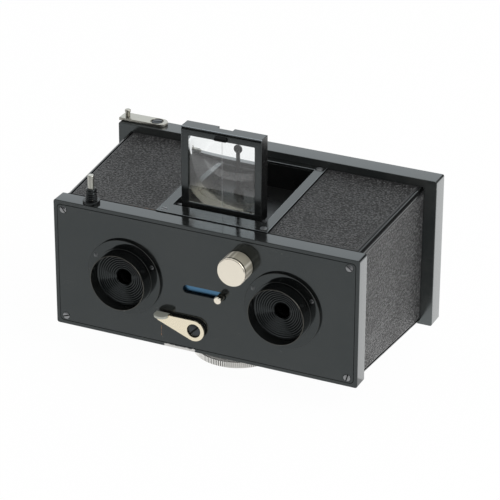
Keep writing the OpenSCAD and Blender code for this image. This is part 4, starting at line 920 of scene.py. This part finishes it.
def leather_panel(name, node, corners, outward, hole=None, rubbed=None):
    """A leather sheet on four corner points, rolled down at its edges and gently uneven."""
    a, b, c, d = corners
    across = max(2, round(max((b - a).length, (c - d).length) / LEATHER_STEP))
    along = max(2, round(max((d - a).length, (c - b).length) / LEATHER_STEP))
    bm = bmesh.new()
    border = bm.verts.layers.float.new("border")
    mark = bm.verts.layers.float.new("rubbed")

    def share(k, count):
        """Place of a row from 0 to 1, with closer rows at both ends."""
        ends = (0.0, 0.16, LEATHER_ROLL_W)
        last = count + 4
        if k < 3:
            return ends[k] / (count * LEATHER_STEP)
        if last - k < 3:
            return 1 - ends[last - k] / (count * LEATHER_STEP)
        return (k - 2) / count

    grid = []
    for j in range(along + 5):
        row = []
        t = share(j, along)
        for i in range(across + 5):
            s = share(i, across)
            left = a.lerp(d, t)
            right = b.lerp(c, t)
            here = left.lerp(right, s)
            width = (right - left).length
            length = (a.lerp(b, s) - d.lerp(c, s)).length
            reach = min(s * width, (1 - s) * width, t * length, (1 - t) * length)
            roll = LEATHER_ROLL * (1 - min(reach / LEATHER_ROLL_W, 1.0)) ** 2
            uneven = 0.05 * noise.noise(here * 0.11) + 0.02 * noise.noise(here * 0.6)
            fade = min(reach / 1.5, 1.0)
            top = here + outward * (min(uneven * fade - 0.05, 0.0) - roll)
            vert = bm.verts.new(seat(*top))
            vert[border] = reach
            vert[mark] = rubbed(here) if rubbed else 0.0
            row.append(vert)
        grid.append(row)
    for j in range(along + 4):
        for i in range(across + 4):
            bm.faces.new([grid[j][i], grid[j][i + 1], grid[j + 1][i + 1], grid[j + 1][i]])
    if hole:
        middle, radius = hole
        gone = [f for f in bm.faces if (f.calc_center_median() - middle).xy.length < radius * MM]
        bmesh.ops.delete(bm, geom=gone, context="FACES")
    rim = [e for e in bm.edges if e.is_boundary]
    lowered = bmesh.ops.extrude_edge_only(bm, edges=rim)["geom"]
    for part in lowered:
        if isinstance(part, bmesh.types.BMVert):
            part.co += outward * (-LEATHER_SKIRT * MM)
    bmesh.ops.recalc_face_normals(bm, faces=bm.faces)
    middle_face = max(bm.faces, key=lambda f: f.calc_area())
    if middle_face.normal.dot(outward) < 0:
        bmesh.ops.reverse_faces(bm, faces=bm.faces)
    show(bm, name, leather, "camera_body", [node], sharp=60.0, even=False)


LEATHER_FRONT = CASE_T + 0.1
LEATHER_BACK = BODY_END - 0.1
top_out = Vector((0, -SLOPE, 1)).normalized()


def seam_rub(here):
    """How far the left top panel is rubbed, along its seam with the case."""
    near_front = max(0.0, 1 - (here.y - CASE_T) / SEAM_RUB_DEEP)
    spread = max(0.0, 1 - abs(here.x - SEAM_RUB_X) / SEAM_RUB_HALF)
    return near_front * min(1.0, spread * 2.0)


for side, name in ((-1, "left"), (1, "right")):
    inner = side * (BEZEL_W / 2 + 0.05)
    corners = [(inner, LEATHER_FRONT)]
    for y in (LEATHER_FRONT, LEATHER_BACK):
        corners.append((side * (side_reach(y) - CORNER_W), y))
    corners.append((inner, LEATHER_BACK))
    sheet = [Vector((x, y, top_height(y))) for x, y in corners]
    leather_panel(name + "_top_hide", name + "_top_leather", sheet, top_out, rubbed=seam_rub)
    out = Vector((side, -FLARE, 0)).normalized()
    walls = []
    for y, level in ((LEATHER_FRONT, -1), (LEATHER_BACK, -1), (LEATHER_BACK, 1), (LEATHER_FRONT, 1)):
        z = LENS_Z + level * (top_height(y) - LENS_Z - CORNER_W)
        walls.append(Vector((side * side_reach(y), y, z)))
    leather_panel(name + "_side_hide", name + "_side_leather", walls, out)
under = []
for side, y in ((-1, LEATHER_FRONT), (1, LEATHER_FRONT), (1, LEATHER_BACK), (-1, LEATHER_BACK)):
    under.append(Vector((side * (side_reach(y) - CORNER_W), y, 2 * LENS_Z - top_height(y))))
leather_panel("bottom_hide", "bottom_leather", under, Vector((0, -SLOPE, -1)).normalized(),
              hole=(seat(0, FOOT_AXIS_Y, 0), BUSH_HOLE_R))
paint("septum", satin_black)

# Finder

eased("finder_bezel", 0.12, bezel_enamel)
eased("finder_tray", 0.1, tray_black)
# The top front edges carry a painted highlight line; the outer side faces take near-black paint as painted
# shade.
eased("finder_frame", 0.28, [finder_enamel, finder_enamel, black_paint_and_shade], 3,
      mark=lambda spot: spot.z > FINDER_SHEEN_LOW and spot.y < FINDER_SHEEN_BACK,
      inner=lambda spot: abs(spot.x) > FINDER_HALF_W and spot.z < FINDER_TOP)
eased("finder_catch", 0.18, black_paint_and_shade)
paint("finder_hinge_pins", dark_steel)
eased("sight_bracket", 0.12, black_paint_and_shade)
paint("sight_pin", dark_steel)
eased("sight_tube", 0.1, black_paint_and_shade)
eased("sight_stalk", 0.1, black_paint_and_shade)


def peep_bush():
    """Small bush that narrows the sight's hole."""
    spots = [v.co for v in frame["nodes"]["sight_stalk"].data.vertices]
    low = Vector([min(spot[k] for spot in spots) for k in range(3)])
    high = Vector([max(spot[k] for spot in spots) for k in range(3)])
    centre = (low + high) / 2
    centre.z = high.z - SIGHT_DISC_R * MM
    wall = [(0.2, -0.45, 0), (0.52, -0.45, 0), (0.52, 0.45, 0), (0.2, 0.45, 0)]
    turned_piece("peep_bush", wall, centre, FRONT, black_paint_and_shade, body_of_node("sight_stalk"),
                 (), 24)


peep_bush()

bezel_places = []
for side in (-1, 1):
    for y, turn in ((CASE_T + BEZEL_SCREW_IN, 25 + 40 * side), (BODY_END - BEZEL_SCREW_IN, 70 - 30 * side)):
        bezel_places.append({"centre": seat(side * BEZEL_SCREW_X, y, top_height(y)), "axis": top_out,
                             "turn": turn, "radius": 1.17, "low": -0.1, "high": 0.42,
                             "slot_w": 0.3, "slot_d": 0.25, "ease": 0.1})
screws_piece("bezel_screw_heads", bezel_places, dark_steel, "camera_body", ["bezel_screws"])


def finder_lens():
    """Plano-concave finder glass with ground edges."""
    bm = bmesh.new()
    count = 40
    rim = 0.22
    middle = GLASS_LOW + GLASS_H / 2

    def face_grid(depth_at, flip):
        """One polished face, and the loop of points round it."""
        grid = []
        for j in range(count + 1):
            row = []
            for i in range(count + 1):
                x = (GLASS_W - 2 * rim) * (i / count - 0.5)
                z = (GLASS_H - 2 * rim) * (j / count - 0.5)
                row.append(bm.verts.new(seat(x, depth_at(x, z), middle + z)))
            grid.append(row)
        for j in range(count):
            for i in range(count):
                corners = [grid[j][i], grid[j][i + 1], grid[j + 1][i + 1], grid[j + 1][i]]
                bm.faces.new(corners[::-1] if flip else corners)
        loop = grid[0] + [row[-1] for row in grid[1:]]
        loop += grid[-1][-2::-1] + [row[0] for row in grid[-2:0:-1]]
        return loop

    def hollow(x, z):
        sag = GLASS_CURVE - math.sqrt(GLASS_CURVE ** 2 - x * x - z * z)
        return GLASS_FRONT + min(GLASS_THIN + sag, GLASS_T)

    def flat(x, z):
        return GLASS_FRONT

    def side_loop(source, y_of):
        """The same loop, moved out to the glass's full width and height."""
        loop = []
        for vert in source:
            x = vert.co.x / MM
            z = vert.co.z / MM + FOOT_FACE_Z - middle
            x *= GLASS_W / (GLASS_W - 2 * rim)
            z *= GLASS_H / (GLASS_H - 2 * rim)
            loop.append(bm.verts.new(seat(x, y_of(vert), middle + z)))
        return loop

    front = face_grid(flat, False)
    rear = face_grid(hollow, True)
    front_side = side_loop(front, lambda vert: GLASS_FRONT + rim)
    rear_side = side_loop(rear, lambda vert: vert.co.y / MM + FOOT_AXIS_Y - 0.05)
    for first, second in ((front, front_side), (front_side, rear_side), (rear_side, rear)):
        for k in range(len(first)):
            n = (k + 1) % len(first)
            face = bm.faces.new([first[n], first[k], second[k], second[n]])
            face.material_index = 1
    bmesh.ops.recalc_face_normals(bm, faces=bm.faces)
    show(bm, "finder_lens", [finder_glass_clear, ground_edge], "finder",
         ["finder_glass"], sharp=20.0, even=False)


finder_lens()


def scribed_line():
    """Upright sighting line on the front of the finder glass."""
    bm = bmesh.new()
    front = GLASS_FRONT - 0.015
    low = GLASS_LOW + LINE_SHORT
    high = GLASS_LOW + GLASS_H - LINE_SHORT
    ends = [(-LINE_HALF_W, low), (LINE_HALF_W, low), (LINE_HALF_W, high), (-LINE_HALF_W, high)]
    bm.faces.new([bm.verts.new(seat(x, front, z)) for x, z in ends])
    show(bm, "finder_line", line_grey, "finder", even=False)


scribed_line()

# Rear frame, holder and latch

eased("rear_frame", 0.3, frame_enamel)
eased("plate_holder", 0.1, holder_black)
eased("dark_slide", 0.1, holder_black)
paint("glass_plate", plate_coating)
paint("plate_spring", steel)
eased("latch_bar", 0.18, latch_nickel)
eased("latch_finger_pin", 0.1, latch_nickel)
latch_head = {"centre": seat(*LATCH_PIVOT), "axis": UP, "turn": 15,
              "radius": 2.08, "low": 0.82, "high": 1.2,
              "slot_w": 0.42, "slot_d": 0.22, "ease": 0.12}
screws_piece("latch_screw_head", [latch_head], near_black_steel, "camera_body", ["latch_screw"])

# Foot and what is hidden inside

paint("foot_disc", knurled_nickel)
eased("tripod_bush", 0.12, foot_nickel)
for node in ("bush_nut", "slide_guides", "shutter_plate", "spring_seat"):
    paint(node, brass)
for node in ("shutter_plate_screws", "lever_crank", "speed_cam"):
    paint(node, steel)


def coiled_spring():
    """Return spring of the release, on a mesh of its own; the real spring shortens as the pin goes down."""
    bm = solid_of("release_spring")
    spring = show(bm, "release_spring_coil", steel, body_of_node("release_spring"),
                  ["release_spring"], even=False)
    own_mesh(spring)


coiled_spring()
paint("shutter_bar", satin_black)

# Floor, light and camera

def seen_directly(tree):
    """One for what the camera, a mirror or the glass sees, and nought for the light that spreads."""
    path = put(tree, "ShaderNodeLightPath").outputs
    return reckon(tree, "MAXIMUM", path["Is Camera Ray"],
                  reckon(tree, "MAXIMUM", path["Is Glossy Ray"], path["Is Transmission Ray"]))


def stage_sheet(name, bm):
    """Adds a sheet to the stage, and gives back its object and the empty tree of its material."""
    mesh = bpy.data.meshes.new(name)
    bm.to_mesh(mesh)
    bm.free()
    sheet = bpy.data.objects.new(name, mesh)
    scene.collection.objects.link(sheet)
    material = bpy.data.materials.new(name)
    material.use_nodes = True
    material.node_tree.nodes.clear()
    mesh.materials.append(material)
    sheet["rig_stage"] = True
    return sheet, material.node_tree


FLOOR_HALF = 2.5
FLOOR_DROP = 0.0002


def make_floor():
    """White floor that keeps a faint shadow."""
    bm = bmesh.new()
    bmesh.ops.create_grid(bm, x_segments=4, y_segments=4, size=FLOOR_HALF)
    floor, tree = stage_sheet("floor", bm)
    floor.location.z = -FLOOR_DROP
    plain = put(tree, "ShaderNodeBsdfDiffuse", None, {"Color": (0.9, 0.9, 0.9, 1)}).outputs[0]
    white = put(tree, "ShaderNodeEmission", None, {"Color": (1, 1, 1, 1), "Strength": 1.0}).outputs[0]
    paper = put(tree, "ShaderNodeMixShader", None, {0: 0.975, 1: plain, 2: white}).outputs[0]
    mixed = put(tree, "ShaderNodeMixShader", None, {0: seen_directly(tree), 1: plain, 2: paper}).outputs[0]
    put(tree, "ShaderNodeOutputMaterial", None, {"Surface": mixed})


def dark_card(name, corners):
    """A dark part of the room, which only mirror-like surfaces show."""
    bm = bmesh.new()
    bm.faces.new([bm.verts.new(place) for place in corners])
    tree = stage_sheet(name, bm)[1]
    mirrored = put(tree, "ShaderNodeLightPath").outputs["Is Glossy Ray"]
    gone = put(tree, "ShaderNodeBsdfTransparent").outputs[0]
    dark = put(tree, "ShaderNodeEmission", None,
               {"Color": (0.05, 0.055, 0.06, 1), "Strength": 1.0}).outputs[0]
    mixed = put(tree, "ShaderNodeMixShader", None, {0: mirrored, 1: gone, 2: dark}).outputs[0]
    put(tree, "ShaderNodeOutputMaterial", None, {"Surface": mixed})


def make_world():
    """White room, a little dimmer as a light than it looks."""
    world = bpy.data.worlds.new("white_room")
    scene.world = world
    world.use_nodes = True
    tree = world.node_tree
    tree.nodes.clear()
    strength = mix_values(tree, seen_directly(tree), 0.7, 1.0)
    room = put(tree, "ShaderNodeBackground", None,
               {"Color": (1, 1, 1, 1), "Strength": strength}).outputs[0]
    put(tree, "ShaderNodeOutputWorld", None, {"Surface": room})


def soft_lamp(name, place, aim, size, power, colour=(1, 1, 1)):
    """A rectangular lamp that faces its aim."""
    data = bpy.data.lights.new(name, "AREA")
    data.shape = "RECTANGLE"
    data.size, data.size_y = size
    data.energy = power
    data.color = colour
    lamp = bpy.data.objects.new(name, data)
    lamp.location = place
    lamp.rotation_mode = "QUATERNION"
    lamp.rotation_quaternion = (Vector(aim) - Vector(place)).to_track_quat("-Z", "Y")
    scene.collection.objects.link(lamp)


make_floor()
dark_card("room_in_front",
          [(-1.2, -0.215, 0.001), (1.2, -0.215, 0.001), (1.8, -1.1, 1.1), (-1.8, -1.1, 1.1)])
dark_card("room_behind",
          [(0.12, 2.0, 0.05), (1.35, 2.0, 0.05), (1.35, 2.0, 1.45), (0.12, 2.0, 1.45)])
make_world()
soft_lamp("right_softbox", (1.0, -0.15, 0.75), (0, 0, 0.04), (0.9, 0.9), 9.0)
soft_lamp("rear_softbox", (-0.45, 0.95, 0.6), (0, 0, 0.05), (1.0, 0.7), 1.05, (0.75, 0.9, 1.0))
soft_lamp("floor_glow", (0.2, 0.22, 0.001), (0.2, 0.22, 1.0), (0.35, 0.45), 0.46)

CAMERA_AZIMUTH = math.radians(24.581)
CAMERA_HEIGHT = math.radians(26.315)
CAMERA_ROLL = math.radians(0.18)
CAMERA_PLACE = (0.36198, -0.78148, 0.46671)
CAMERA_LENS = 187.46


def make_camera():
    """Camera at the photograph's viewing angle."""
    data = bpy.data.cameras.new("photo_view")
    data.sensor_width = 36.0
    data.lens = CAMERA_LENS
    data.clip_start = 0.01
    data.clip_end = 20.0
    camera = bpy.data.objects.new("photo_view", data)
    back = Vector((math.sin(CAMERA_AZIMUTH) * math.cos(CAMERA_HEIGHT),
                   -math.cos(CAMERA_AZIMUTH) * math.cos(CAMERA_HEIGHT), math.sin(CAMERA_HEIGHT)))
    right = Vector((math.cos(CAMERA_AZIMUTH), math.sin(CAMERA_AZIMUTH), 0))
    up = back.cross(right)
    c, s = math.cos(CAMERA_ROLL), math.sin(CAMERA_ROLL)
    basis = Matrix((right * c + up * s, up * c - right * s, back)).transposed()
    camera.rotation_mode = "QUATERNION"
    camera.rotation_quaternion = basis.to_quaternion()
    camera.location = CAMERA_PLACE
    scene.collection.objects.link(camera)
    scene.camera = camera


make_camera()

low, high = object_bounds()
